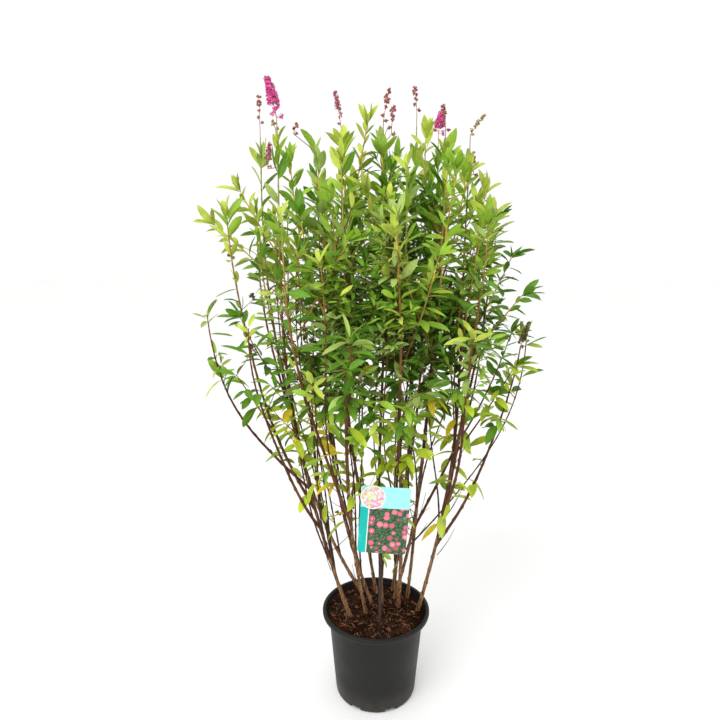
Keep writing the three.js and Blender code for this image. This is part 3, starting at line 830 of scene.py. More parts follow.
def badge_finish():
    """The round badge: a white edge round a bed of pink and green flecks."""
    finish = Finish("badge", roughness=0.3, specular=0.5, coat_roughness=0.2)
    place = card_place(finish)
    across, _, up = finish.parts(place)
    x = across - disc_centre()[0]
    y = up - disc_centre()[1]
    away = finish.node("ShaderNodeMath", {0: x * x + y * y}, operation="SQRT")
    flecks = finish.node("ShaderNodeTexVoronoi", {"Vector": place, "Scale": 210.0}, output="Color")
    red, green, _ = finish.parts(flecks)
    bed = finish.ramp(red, *BADGE_FLECKS)
    finish.colour(finish.blend(away > TAG["disc_radius"] - TAG["disc_edge"], bed, BADGE_EDGE))
    finish.roughness(finish.spread(green, 0, 1, 0.26, 0.36))
    return finish.material


def stake_finish(tag):
    """Dark plastic with scuffs that run along the strip."""
    finish = Finish("stake plastic", roughness=0.5, specular=0.22)
    place = finish.place()
    scuffs = finish.cloud(finish.stretched(place, (1, 1, 0.2)), 300, 3)
    finish.colour(finish.tinted(tag.stake, scuffs, 0.7, 1.5))
    finish.roughness(finish.spread(scuffs, 0.3, 0.7, 0.4, 0.6))
    finish.bump(scuffs, strength=0.25, distance=0.0004)
    return finish.material


def floor_finish(colour):
    """A nearly white floor, very slightly uneven in tone."""
    finish = Finish("studio floor", roughness=0.65, specular=0.2)
    drift = finish.cloud(finish.place(), 2.5, 3)
    finish.colour(finish.tinted(colour, drift, 0.985, 1.01))
    return finish.material


# -------------------------------- meshes


def lerp(first, last, share):
    return first + (last - first) * share


def new_piece(name, mesh, material, smooth=True):
    """An object at the origin that shows this mesh."""
    if smooth:
        mesh.shade_smooth()
    mesh.materials.append(material)
    piece = bpy.data.objects.new(name, mesh)
    bpy.context.scene.collection.objects.link(piece)
    return piece


def hand_over(piece, slot, *nodes):
    """The piece stands with the plant and stands for those solids, which it hides. The slot is not used."""
    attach(piece, "root")
    if nodes:
        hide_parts(*nodes)


def solids(prefix):
    return sorted(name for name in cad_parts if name.startswith(prefix))


def mesh_from(form, name):
    mesh = bpy.data.meshes.new(name)
    form.to_mesh(mesh)
    form.free()
    return mesh


class Pattern:
    """A small shape, read from a bmesh into arrays, to be copied many times."""

    def __init__(self, form):
        form.verts.index_update()
        self.corners = np.array([vert.co for vert in form.verts])
        self.loops = np.array([vert.index for face in form.faces for vert in face.verts])
        self.totals = np.array([len(face.verts) for face in form.faces])
        form.free()


class Bundle:
    """Many copies of patterns, joined into one mesh."""

    def __init__(self):
        self.blocks = []

    def add(self, pattern, points, charts=None):
        """Copies of the pattern: their corners as an array of copies by corners by 3."""
        if len(points):
            self.blocks.append((pattern, points, charts))

    def mesh(self, name):
        offset = 0
        corners, loops, totals, charts = [], [], [], []
        for pattern, points, chart in self.blocks:
            count, size = points.shape[:2]
            firsts = offset + np.arange(count)[:, None] * size
            corners.append(points.reshape(-1, 3))
            loops.append((pattern.loops[None, :] + firsts).ravel())
            totals.append(np.tile(pattern.totals, count))
            if chart is not None:
                charts.append(np.tile(chart[pattern.loops], (count, 1)))
            offset += count * size
        corners, loops, totals = np.concatenate(corners), np.concatenate(loops), np.concatenate(totals)
        mesh = bpy.data.meshes.new(name)
        mesh.vertices.add(len(corners))
        mesh.vertices.foreach_set("co", corners.astype(np.float32).ravel())
        mesh.loops.add(len(loops))
        mesh.loops.foreach_set("vertex_index", loops.astype(np.int32))
        mesh.polygons.add(len(totals))
        mesh.polygons.foreach_set("loop_start", (np.cumsum(totals) - totals).astype(np.int32))
        if charts:
            layer = mesh.uv_layers.new(name="blade")
            layer.data.foreach_set("uv", np.concatenate(charts).astype(np.float32).ravel())
        mesh.update(calc_edges=True)
        mesh.validate()
        return mesh


def turned(outline, steps):
    """A bmesh of an outline of radius and height, spun once round the upright axis."""
    form = bmesh.new()
    verts = [form.verts.new((radius, 0, height)) for radius, height in outline]
    edges = [form.edges.new(pair) for pair in zip(verts, verts[1:])]
    bmesh.ops.spin(
        form, geom=verts + edges, cent=(0, 0, 0), axis=(0, 0, 1), angle=math.tau, steps=steps, use_merge=True
    )
    bmesh.ops.remove_doubles(form, verts=form.verts, dist=1e-6)
    bmesh.ops.recalc_face_normals(form, faces=form.faces)
    return form


def arc(radius, height, size, start, end, steps):
    """Points of a rounded edge in an outline: its centre, its radius, and the angles it runs between."""
    turns = (math.radians(lerp(start, end, step / steps)) for step in range(steps + 1))
    return [(radius + size * math.cos(turn), height + size * math.sin(turn)) for turn in turns]


def uprights(form):
    """The edges of an upright bar that run along it."""
    return [edge for edge in form.edges if abs(edge.verts[0].co.z - edge.verts[1].co.z) > 0.5]


def bar_pattern(sides, rings):
    """A round bar of rings of corners, closed at both ends. Its height runs from 0 to 1."""
    form = bmesh.new()
    middle = Matrix.Translation((0, 0, 0.5))
    bmesh.ops.create_cone(form, cap_ends=True, segments=sides, radius1=1, radius2=1, depth=1, matrix=middle)
    bmesh.ops.subdivide_edges(form, edges=uprights(form), cuts=rings - 2, use_grid_fill=True)
    return Pattern(form)


def unit(vectors):
    return vectors / np.maximum(np.linalg.norm(vectors, axis=-1, keepdims=True), 1e-12)


def swept(pattern, rings, centres, radii, relief=None):
    """Bars along their centre lines. Centres are runs by rings by 3, radii runs by rings, and the relief, if
    any, is a factor on the radius for each corner, worked out from its ring's height and its angle."""
    ways = unit(np.gradient(centres, axis=1))
    middle = ways[:, rings // 2]
    steep = np.abs(middle[:, 2:]) > 0.85
    aside = np.where(steep, (1.0, 0.0, 0.0), (0.0, 0.0, 1.0))[:, None, :]
    side = unit(np.cross(aside, ways))
    over = np.cross(ways, side)
    ring = np.rint(pattern.corners[:, 2] * (rings - 1)).astype(int)
    angle = np.arctan2(pattern.corners[:, 1], pattern.corners[:, 0])
    reach = radii[:, ring]
    if relief is not None:
        reach = reach * relief(centres[:, ring, 2], angle[None, :])
    outward = side[:, ring] * np.cos(angle)[None, :, None] + over[:, ring] * np.sin(angle)[None, :, None]
    return centres[:, ring] + outward * reach[..., None]


def scattered(pattern, places, sizes, luck):
    """Copies of a pattern at these places, each turned at random and stretched by its own three sizes."""
    spins = unit(luck.normal(size=(len(places), 4)))
    w, x, y, z = spins.T
    turns = np.stack(
        [
            np.stack([1 - 2 * (y * y + z * z), 2 * (x * y - z * w), 2 * (x * z + y * w)], -1),
            np.stack([2 * (x * y + z * w), 1 - 2 * (x * x + z * z), 2 * (y * z - x * w)], -1),
            np.stack([2 * (x * z - y * w), 2 * (y * z + x * w), 1 - 2 * (x * x + y * y)], -1),
        ],
        1,
    )
    stretched = pattern.corners[None] * sizes[:, None, :]
    return places[:, None, :] + np.einsum("nij,nvj->nvi", turns, stretched)


# -------------------------------- the lines that limbs follow


class Line:
    """The run of a limb: bare wood from its start up to `leafy`, and a leafy shoot from there to its top. It
    rises all the way, so its place seen from above is a function of height."""

    def __init__(self, foot, tip, start, top, leafy, bend, sway, turn, radius, end_radius):
        self.foot, self.tip = foot, tip
        self.start, self.top, self.leafy = start, top, leafy
        self.bend, self.sway, self.turn = bend, sway, turn
        self.radius, self.end_radius = radius, end_radius

    def points(self, heights):
        """Places on the line at an array of heights."""
        z = np.asarray(heights, float)
        share = np.clip((z - self.start) / (self.top - self.start), 0, 1)
        spread = 1 - (1 - share) ** self.bend
        bow = self.sway * 4 * share * (1 - share)
        x = lerp(self.foot[0], self.tip[0], spread) + bow * np.cos(self.turn + 5 * share)
        y = lerp(self.foot[1], self.tip[1], spread) + bow * np.sin(self.turn + 5 * share)
        return np.stack([x, y, z], axis=-1)

    def point(self, z):
        return Vector(self.points(z))

    def way(self, z):
        return (self.point(z + 0.001) - self.point(z - 0.001)).normalized()

    def thickness(self, heights):
        """The bare wood's radius at an array of heights."""
        share = np.clip((heights - self.start) / (self.leafy - self.start), 0, 1)
        return lerp(self.radius, self.end_radius, share**0.9)


def stem_lines():
    lines = {}
    for order, (name, (foot, tip, top, radius)) in enumerate(STEMS.items()):
        lines[name] = Line(
            foot,
            tip,
            start=STEM_START,
            top=top,
            leafy=lerp(STEM_START, top, STEM["leafy_from"]),
            bend=STEM["bend"],
            sway=STEM["sway"],
            turn=order * STEM["turn"],
            radius=radius,
            end_radius=STEM["end_radius"],
        )
    return lines


def crown_place(angle, reach, shift=0):
    """A place seen from above, as far out in the crown's oval as the reach says."""
    return (
        CROWN["x"] + shift + CROWN["half_width"] * reach * math.cos(angle),
        CROWN["y"] + CROWN["half_depth"] * reach * math.sin(angle),
    )


def bough_lines(stems):
    """Each side bough starts from the stem whose tip is nearest, and above the tag where it is in front."""
    lines = {}
    taken = dict.fromkeys(stems, 0)
    for order in range(BOUGHS["count"]):
        kind = BOUGHS["tall"] if order % 2 else BOUGHS["low"]
        angle = math.radians(BOUGHS["first_angle"] + order * 360 / BOUGHS["count"])
        reach = kind["reach"] * (BOUGHS["longest_by"] if order == BOUGHS["longest"] else 1)
        tip = crown_place(angle, reach, kind["shift"])
        parent = min(stems, key=lambda name: math.dist(stems[name].tip, tip))
        over_tag = abs(tip[0] - TAG["centre"][0]) < TAG["width"] and tip[1] < TAG["centre"][1]
        lowest = TAG["centre"][2] + TAG["height"] / 2 + BOUGHS["over_tag"] if over_tag else 0
        start = max(kind["start"] + BOUGHS["later_by"] * taken[parent], lowest)
        taken[parent] += 1
        lines[f"{parent}{taken[parent]}"] = Line(
            tuple(stems[parent].points(start)[:2]),
            tip,
            start=start,
            top=kind["top"],
            leafy=lerp(start, kind["top"], kind["leafy_from"]),
            bend=BOUGHS["bend"],
            sway=BOUGHS["sway"],
            turn=order * BOUGHS["turn"],
            radius=BOUGHS["start_radius"],
            end_radius=BOUGHS["end_radius"],
        )
    return lines


def whip_lines(stems):
    """Thin whips, their tips spread evenly over the inside of the crown, and the one that sweeps out."""
    lines = {}
    for order in range(WHIPS["count"]):
        share = (order + 0.5) / WHIPS["count"]
        tip = crown_place(order * GOLDEN + WHIPS["first_angle"], lerp(*WHIPS["reach"], math.sqrt(share)))
        start = lerp(*WHIPS["start"], (order * 0.382) % 1)
        top = lerp(*WHIPS["top"], (order * 0.618) % 1)
        parent = min(stems, key=lambda name: math.dist(stems[name].points(WHIPS["meets_stem_at"])[:2], tip))
        lines[f"whip{order}"] = Line(
            tuple(stems[parent].points(start)[:2]),
            tip,
            start=start,
            top=top,
            leafy=lerp(start, top, WHIPS["leafy_from"]),
            bend=WHIPS["bend"],
            sway=WHIPS["sway"],
            turn=order * WHIPS["turn"],
            radius=WHIPS["radius"],
            end_radius=WHIPS["end_radius"],
        )
    lines["sweep"] = Line(**SWEEP)
    return lines


STEM_LINES = stem_lines()
BOUGH_LINES = bough_lines(STEM_LINES)
WHIP_LINES = whip_lines(STEM_LINES)
ALL_LINES = {**STEM_LINES, **BOUGH_LINES, **WHIP_LINES}


# -------------------------------- bare wood


def bark_relief(depth, spacing, turn):
    """The bark's relief: ridges along the limb, faint rings, and buds at even steps that turn round it."""

    def relief(heights, angle):
        ridges = np.sin(5 * angle + 2.4 * np.sin(38 * heights + turn))
        ridges = ridges + 0.6 * np.sin(9 * angle - 70 * heights + turn)
        rings = np.sin(230 * heights + turn) * np.sin(61 * heights)
        order = np.rint(heights / spacing)
        off = heights - order * spacing
        round_it = (angle - order * GOLDEN + math.pi) % math.tau - math.pi
        bud = np.exp(-((off / 0.0030) ** 2)) * (0.16 + 0.42 * np.exp(-((round_it / 0.75) ** 2)))
        return 1 + depth * (0.45 * ridges + 0.35 * rings) + bud

    return relief


def add_limb(bundle, line, low, high, radius_at, sides, step, relief):
    """One limb along its line, between two heights."""
    rings = max(4, round((high - low) / step) + 1)
    heights = np.linspace(low, high, rings)
    pattern = bar_pattern(sides, rings)
    bundle.add(pattern, swept(pattern, rings, line.points(heights)[None], radius_at(heights)[None], relief))


def flared(line):
    """A stem's radius with a flare where it comes out of the soil."""

    def radius_at(heights):
        return line.thickness(heights) * (0.92 + 0.28 * np.exp(-np.maximum(heights - SOIL_LEVEL, 0) / 0.010))

    return radius_at


def add_bare_wood(bundle, lines, kind, limbs):
    """The bare wood of these limbs, each a little way into what it grows from and into its leafy shoot."""
    how = LIMBS[kind]
    for line in lines.values():
        radius_at = flared(line) if kind == "stem" else line.thickness
        relief = bark_relief(limbs.relief, limbs.bud_spacing * how["buds"], line.turn)
        low, high = line.start - how["below"], line.leafy + LIMB_OVERLAP
        add_limb(bundle, line, low, high, radius_at, how["sides"], how["step"], relief)


def make_stems(limbs):
    bundle = Bundle()
    add_bare_wood(bundle, STEM_LINES, "stem", limbs)
    piece = new_piece("stems", bundle.mesh("stems"), stem_finish(limbs))
    hand_over(piece, "stem", *solids("stem_"))


def make_boughs(limbs):
    bundle = Bundle()
    add_bare_wood(bundle, BOUGH_LINES, "bough", limbs)
    piece = new_piece("boughs", bundle.mesh("boughs"), bark_finish("bough bark", limbs.bark_colour))
    hand_over(piece, "bough", *solids("bough_"))


def make_whips(limbs):
    """The thin whips, and short bare twiglets low down on them and on the stems."""
    bundle = Bundle()
    add_bare_wood(bundle, WHIP_LINES, "whip", limbs)
    draw = random.Random(SEEDS["twiglets"])
    runs = []
    hosts = [*STEM_LINES.values(), *WHIP_LINES.values()]
    for order in range(BARE_TWIGLETS["count"]):
        line = hosts[order % len(hosts)]
        root = line.point(draw.uniform(*BARE_TWIGLETS["heights"]))
        reach = draw.uniform(*BARE_TWIGLETS["reach"])
        steepness = draw.uniform(*BARE_TWIGLETS["steepness"])
        run = side_run(root, order * GOLDEN, steepness, reach, BARE_TWIGLETS["lift"])
        if not any(hides_tag(point) for point in run):
            runs.append((*run, *BARE_TWIGLETS["radii"]))
    add_runs(bundle, runs, 5, 9)
    piece = new_piece("whips", bundle.mesh("whips"), bark_finish("whip bark", limbs.dark_colour))
    hand_over(piece, "stem")


# -------------------------------- twigs and leaves


def heading(azimuth, steepness):
    """A direction from its azimuth in radians and its steepness in degrees."""
    rise = math.radians(steepness)
    return Vector((math.cos(azimuth) * math.cos(rise), math.sin(azimuth) * math.cos(rise), math.sin(rise)))


def side_run(root, azimuth, steepness, reach, lift):
    """A side twig's root, middle and end. It sets out at one steepness and turns upwards by the lift."""
    middle = root + heading(azimuth, steepness) * reach * 0.5
    end = middle + heading(azimuth, min(steepness + lift, 84)) * reach * 0.5
    return root, middle, end


def on_run(run, share):
    """A place on a twig and its direction there."""
    root, middle, end = run[:3]
    place = root * (1 - share) ** 2 + middle * (2 * share * (1 - share)) + end * share**2
    way = (middle - root) * (1 - share) + (end - middle) * share
    return place, way.normalized()


def add_runs(bundle, runs, sides, rings):
    """Twigs as tapering bars, all with the same number of corners."""
    if not runs:
        return
    ends = np.array([[tuple(point) for point in run[:3]] for run in runs])
    thick = np.array([run[3:5] for run in runs])
    share = np.linspace(0, 1, rings)[None, :, None]
    root, middle, end = (ends[:, k, None, :] for k in range(3))
    centres = root * (1 - share) ** 2 + middle * 2 * share * (1 - share) + end * share**2
    radii = lerp(thick[:, :1], thick[:, 1:], np.linspace(0, 1, rings)[None, :])
    pattern = bar_pattern(sides, rings)
    bundle.add(pattern, swept(pattern, rings, centres, radii))


def part_of(value, start, over):
    """How far a value is on its way from the start, kept between 0 and 1."""
    return min(max((value - start) / over, 0), 1)


def crest(name, line):
    """The height where a limb's leafy shoot ends: lower than its top where an old seed head took the tip."""
    return line.top + min(BLOOMS[name][1], 0) if name in BLOOMS else line.top


def crown_share(point):
    """How far out a point is: 0 on the crown's axis and 1 where the twigs end at that height."""
    heights, lefts, rights = zip(*OUTLINE)
    left = float(np.interp(point.z, heights, lefts))
    right = float(np.interp(point.z, heights, rights))
    half = (right - left) / 2
    across = (point.x - (left + right) / 2) / half
    deep = (point.y - CROWN["y"]) / (half * DEPTH_FOR_WIDTH)
    return math.hypot(across, deep)


def openness(point):
    """The share of leaves that grow there, from 1 down to nearly none in the middle of an opening."""
    share = 1.0
    for x, z, half_width, half_height, missing in OPENINGS:
        across = ((point.x - x) / half_width) ** 2
        share *= 1 - missing * math.exp(-across - ((point.z - z) / half_height) ** 2)
    return share


def fullness(point):
    """The chance that a leaf or side twig grows there: low near the crown's foot, and lower at its edge."""
    share = float(np.interp(point.z, *zip(*FULLNESS)))
    return share * openness(point) * lerp(1.0, FULLNESS_AT_EDGE, min(crown_share(point), 1))


def hides_tag(point):
    """Whether a point is at the tag, or in front of it."""
    x, y, z = TAG["centre"]
    before = y + 0.022 - point.y
    aside = TAG["width"] / 2 + TAG["disc_radius"] * 0.4
    above = TAG["height"] / 2 + 0.012 + 0.55 * before
    return before > 0 and abs(point.x - x) < aside and -TAG["height"] / 2 - 0.010 < point.z - z < above


class Growth:
    """What grows on the limbs: twigs by kind, leaves by tone, and tips that flower spikes can stand on."""

    def __init__(self, leaves):
        self.settings = leaves
        self.twigs = {kind: [] for kind in TWIGS}
        self.leaves = {tone: [] for tone in TONES}
        self.tips = []

    def tone(self, height, outward, draw):
        """The colour of a whole spray, from its height in the crown and how far out it stands."""
        if height < LOW_CROWN:
            return draw.choice(LOW_TONES)
        if draw.random() < PALE_SHARE:
            return "pale"
        # Painted light and shade: sprays high up and far out get lighter tones, sprays inside the crown
        # deeper ones, besides the leaves' age.
        light = 0.66 * (height - 0.66) / 0.52 + 0.40 * (outward - 0.50) + draw.uniform(-0.27, 0.27)
        for least, tone in LIGHT_TONES:
            if light > least:
                return tone
        return "deep"

    def leaf(self, tone, root, way, around, opening, length, draw):
        """A leaf on a twig: the way it opens from the twig, laid flatter the lower it hangs."""
        steep = part_of(root.z, *STEEP_FROM)
        low = part_of(root.z, *DROOPS_FROM)
        aside = way.orthogonal().normalized()
        aside.rotate(Matrix.Rotation(around, 3, way))
        turn = math.radians(opening * lerp(1.30, 1.0, steep) + draw.uniform(-12, 12))
        along = way * math.cos(turn) + aside * math.sin(turn)
        sag = draw.uniform(-0.62, 0.40) * (1 - 0.8 * steep)
        along.z = along.z * lerp(0.40, 1.0, steep) + sag - 0.14 * low
        along.normalize()
        upward = way * lerp(0.15, 0.75, steep) + UP * lerp(1.0, 0.30, steep)
        loose = lerp(0.55, 0.40, steep)
        upward = upward + Vector((draw.gauss(0, loose), draw.gauss(0, loose), 0))
        upward = (upward - along * upward.dot(along)).normalized()
        if hides_tag(root) or hides_tag(root + along * length):
            return
        arch = draw.uniform(0.15, 0.55) + low * draw.uniform(0.1, 0.6)
        cup = draw.uniform(0.10, 0.50)
        twist = draw.uniform(-0.6, 0.6)
        slender = self.settings.slender * draw.uniform(0.86, 1.10) * lerp(1.0, 1.12, low)
        self.leaves[tone].append((*root, *along, *upward, length, length * slender, arch, cup, twist))

    def tuft(self, how, tone, place, way, start, length, draw):
        """Leaves round the tip of a twig."""
        count, sizes, openings = how
        for order in range(count):
            size = length * draw.uniform(*sizes)
            around = start + order * math.tau / count
            self.leaf(tone, place, way, around, draw.uniform(*openings), size, draw)

    def dress(self, run, tones, length, spacing, draw, first=0.16, strong=False):
        """Leaves along a twig, in a spiral, and a tuft at its tip. Openings don't thin a strong shoot."""
        tone, tip_tone = tones
        reach = (run[2] - run[0]).length
        count = max(2, round(reach * (1 - first) / spacing))
        start = draw.uniform(0, math.tau)
        for order in range(count):
            share = lerp(first, 0.97, (order + draw.uniform(0.2, 0.8)) / count)
            place, way = on_run(run, share)
            if draw.random() > openness(place) ** 1.3 and not strong:
                continue
            swell = 0.62 + 0.38 * math.sin(math.pi * min(share + 0.12, 1))
            size = length * swell * draw.uniform(0.78, 1.12)
            shade = tip_tone if share > 0.66 else tone
            self.leaf(shade, place, way, start + order * GOLDEN, lerp(64, 30, share), size, draw)
        place, way = on_run(run, 1.0)
        self.tuft(TWIG_TUFT, tip_tone, place, way, start + 1, length, draw)

    def lateral(self, line, z, azimuth, reach, steepness, draw):
        """A side twig with its leaves, and twiglets where it is long, cut back until it ends in the crown."""
        root = line.point(z)
        for _ in range(6):
            run = side_run(root, azimuth, steepness, reach, 22)
            if crown_share(run[2]) < 1.0:
                break
            reach *= 0.76
            steepness = min(steepness + 8, 74)
        if hides_tag(run[2]):
            return
        outward = crown_share(run[2])
        tone = self.tone(run[2].z, outward, draw)
        # The tips of outer twigs get a tone a step lighter: young tips, and painted light on the crown's
        # outside.
        tip_tone = YOUNGER_AND_LIT.get(tone, tone) if outward > 0.6 else tone
        size = self.settings.length * lerp(0.76, 1.0, part_of(z, 0.84, 0.24))
        if z < LOW_CROWN:
            size = self.settings.length * draw.uniform(0.85, 1.2)
        self.twigs["side"].append(run)
        self.dress(run, (tone, tip_tone), size, lerp(0.0125, 0.0100, part_of(z, 0.80, 0.2)), draw)
        self.tips.append(run[2])
        if reach >= 0.05 and z >= LOW_CROWN:
            self.branch(run, azimuth, reach, tone, size * 0.70, draw)

    def branch(self, run, azimuth, reach, tone, size, draw):
        """Twiglets on a long side twig, to its left and its right in turn."""
        count = round(reach / 0.024)
        for order in range(count):
            place, _ = on_run(run, lerp(0.18, 0.82, (order + draw.random()) / count))
            swing = azimuth + (1 if order % 2 else -1) * draw.uniform(0.6, 1.3)
            fine = side_run(place, swing, draw.uniform(10, 55), draw.uniform(0.020, 0.048), 16)
            if crown_share(fine[2]) < 1.04:
                self.twigs["fine"].append(fine)
                self.dress(fine, (tone, tone), size, CLOSE_SPACING, draw, first=0.25)

    def shoot(self, tone, tip, bend, draw):
        """A strong young shoot from the nearest limb, with the youngest leaves towards its tip."""
        tip, middle = Vector(tip), Vector(bend)
        run = (nearest_limb(middle - (tip - middle) * 0.9), middle, tip)
        tones = ("fresh" if tone == "lime" else tone, tone)
        length = self.settings.length * draw.uniform(0.94, 1.08)
        self.twigs["young"].append(run)
        self.dress(run, tones, length, CLOSE_SPACING, draw, first=0.44, strong=True)
        self.tuft(SHOOT_TUFT, tone, tip, (tip - middle).normalized(), 0.5, self.settings.length, draw)
        self.tips.append(tip)

    def leader(self, name, line, draw, twigs, vigour):
        """A limb's leafy shoot: leaves and side twigs in turn round its line, and a tuft at its tip."""
        length = self.settings.length
        top = crest(name, line)
        count = round((top - line.leafy + LEADER_OVERLAP) / self.settings.spacing)
        for node in range(count):
            share = (node + 0.4) / count
            z = lerp(line.leafy - LEADER_OVERLAP, top, share)
            root = line.point(z)
            azimuth = node * GOLDEN + line.turn * 50
            twig = node % 5 in twigs and share < 0.88
            chance = fullness(root)
            if draw.random() > (chance if twig else chance / openness(root) ** 0.6):
                continue
            if twig:
                reach = self.settings.lateral * lerp(1.0, 0.45, share) * draw.uniform(0.45, 1.05) * vigour
                self.lateral(line, z, azimuth, reach, lerp(22, 54, share) + draw.uniform(-8, 8), draw)
                continue
            tone = self.tone(z, max(crown_share(root), 0.55), draw)
            size = length * lerp(0.92, 1.0, share) * draw.uniform(0.82, 1.1)
            self.leaf(tone, root, line.way(z), azimuth, lerp(60, 28, share), size, draw)
        top_tone = draw.choice(("lime", "lime", "fresh", "pale"))
        for order in range(0 if top < line.top else 5):
            size = length * draw.uniform(0.70, 1.0) * lerp(0.60, 1.0, openness(line.point(top)))
            root = line.point(top - 0.004 * order)
            self.leaf(top_tone, root, UP, order * math.tau / 5, 10 + 6 * order, size, draw)
        self.tips.append(line.point(top))

    def low_leaves(self, line, draw):
        """Large pale leaves here and there on the bare wood, singly or in pairs."""
        for z in np.arange(max(line.start + 0.08, 0.43), line.leafy, 0.021):
            if draw.random() >= 0.30 * min((z - 0.40) / 0.12, 1) * openness(line.point(z)):
                continue
            azimuth = draw.uniform(0, math.tau)
            for pair in range(draw.choice((1, 1, 2))):
                size = self.settings.length * draw.uniform(0.66, 1.12)
                tone = "yellow" if draw.random() < 0.08 else draw.choice(("low", "low", "lime"))
                around, opening = azimuth + pair * 2.2, draw.uniform(45, 80)
                self.leaf(tone, line.point(z), line.way(z), around, opening, size, draw)


def nearest_limb(place):
    """The point of the nearest limb at a place's height."""
    z = place[2]
    near = (line.point(z) for line in ALL_LINES.values() if line.start + 0.03 < z < line.top)
    return min(near, key=lambda point: (point - Vector(place)).length)


def grow(leaves):
    """All that grows on the shrub."""
    growth = Growth(leaves)
    for kind, lines in (("stems", STEM_LINES), ("boughs", BOUGH_LINES), ("whips", WHIP_LINES)):
        for order, (name, line) in enumerate(lines.items()):
            draw = random.Random(SEEDS[kind] + order)
            growth.leader(name, line, draw, **LEADERS[kind])
    draw = random.Random(SEEDS["shoots"])
    for tone, tip, bend in SHOOTS:
        growth.shoot(tone, tip, bend, draw)
    draw = random.Random(SEEDS["low_leaves"])
    for line in ALL_LINES.values():
        growth.low_leaves(line, draw)
    for tone, places, size in SINGLE_LEAVES:
        for place in places:
            root = nearest_limb(place)
            away = Vector(place) - root
            around = math.atan2(away.y, away.x)
            growth.leaf(tone, root, UP, around, draw.uniform(70, 110), size * draw.uniform(0.9, 1.2), draw)
    return growth


def leaf_pattern(rows):
    """A flat leaf blade, with fine teeth on its outer half: X from -1 to 1 across its widest part, Y from 0
    at its root to 1 at its tip."""
    form = bmesh.new()
    bmesh.ops.create_grid(form, x_segments=2, y_segments=rows, size=1)
    for vert in form.verts:
        along = (vert.co.y + 1) / 2
        inside = 0.001 < along < 0.999
        width = math.sin(math.pi * along**0.95) ** 0.82 if inside else 0
        tooth = 0.93 if round(along * rows) % 2 and along > 0.4 else 1
        vert.co = (vert.co.x * width * tooth, along, 0)
    bmesh.ops.remove_doubles(form, verts=form.verts, dist=1e-4)
    return Pattern(form)


def leaf_frames(rows):
    """The columns of the leaves' rows, as arrays, and the direction across each leaf."""
    table = np.array(rows)
    frames = {"root": table[:, 0:3], "along": table[:, 3:6], "over": table[:, 6:9]}
    frames["across"] = np.cross(frames["along"], frames["over"])
    for column, name in enumerate(LEAF_SHAPE, LENGTH_COLUMN):
        frames[name] = table[:, column]
    return frames


def blade_line(frames, share):
    """Places along the middles of the blades, and the directions across and over them there."""
    root, along, over, across = (frames[name][:, None] for name in ("root", "along", "over", "across"))
    length, arch, twist = (frames[name][:, None] for name in ("length", "arch", "twist"))
    bend = arch * share[None, :]
    forward = np.sin(bend) / arch
    drop = (1 - np.cos(bend)) / arch
    reach = forward[..., None] * along - drop[..., None] * over
    centre = root + length[..., None] * (reach + PETIOLE * along)
    normal = over * np.cos(bend)[..., None] + along * np.sin(bend)[..., None]
    turn = (twist * share[None, :])[..., None]
    aside = across * np.cos(turn) + normal * np.sin(turn)
    normal = normal * np.cos(turn) - across * np.sin(turn)
    return centre, aside, normal


def blades(pattern, rows):
    """The corners of all these leaves: each arched along its length, folded along its middle and twisted."""
    frames = leaf_frames(rows)
    width, cup = frames["width"][:, None], frames["cup"][:, None]
    across, share = pattern.corners[:, 0], pattern.corners[:, 1]
    centre, aside, normal = blade_line(frames, share)
    half = across[None, :] * width / 2
    wave = 0.05 * np.sin(9 * share)[None, :] * np.abs(half)
    lift = np.abs(half) * np.sin(cup) + wave
    return centre + aside * (half * np.cos(cup))[..., None] + normal * lift[..., None]


def ribs(pattern, rows):
    """The leaf stalks and middle ribs, from the twig to nearly the tip of each leaf."""
    rings = RIB["rings"]
    centre, _, normal = blade_line(leaf_frames(rows), np.linspace(-PETIOLE, RIB["end"], rings))
    centre = centre - normal * 0.00012
    radii = np.linspace(*RIB["radii"], rings)[None, :] * np.ones((len(rows), 1))
    return swept(pattern, rings, centre, radii)


def make_shoots(limbs, leaves):
    """The limbs' leafy shoots. Under a flower spike one ends part of the way up the spike's stalk."""
    bundle = Bundle()
    for name, line in ALL_LINES.items():
        stalk = max(BLOOMS[name][1], 0) if name in BLOOMS else 0
        top = crest(name, line) + 0.6 * stalk

        def radius_at(heights, line=line, top=top):
            share = np.clip((heights - line.leafy) / (top - line.leafy), 0, 1)
            return lerp(line.end_radius, SHOOT_TIP_RADIUS, share**0.8)

        relief = bark_relief(limbs.relief * 0.7, leaves.spacing, line.turn)
        add_limb(bundle, line, line.leafy - LIMB_OVERLAP, top, radius_at, 7, 0.0065, relief)
    piece = new_piece("shoots", bundle.mesh("shoots"), leader_finish(limbs))
    hand_over(piece, "bough", *solids("foliage_"))


def make_twigs(limbs, twigs):
    """The twigs, in one piece for each kind."""
    for kind, look in TWIGS.items():
        bundle = Bundle()
        runs = [(*run, *look["radii"]) for run in twigs[kind]]
        add_runs(bundle, runs, look["sides"], look["rings"])
        if kind == "young":
            material = bark_finish("young twigs", limbs.young_colour, low_colour=YOUNG_BARK_LOW)
        else:
            shade = [channel * look["paler"] for channel in limbs.bark_colour]
            material = bark_finish(f"{kind} twigs", shade)
        hand_over(new_piece(f"twigs_{kind}", bundle.mesh(kind), material), "bough", *solids("foliage_"))


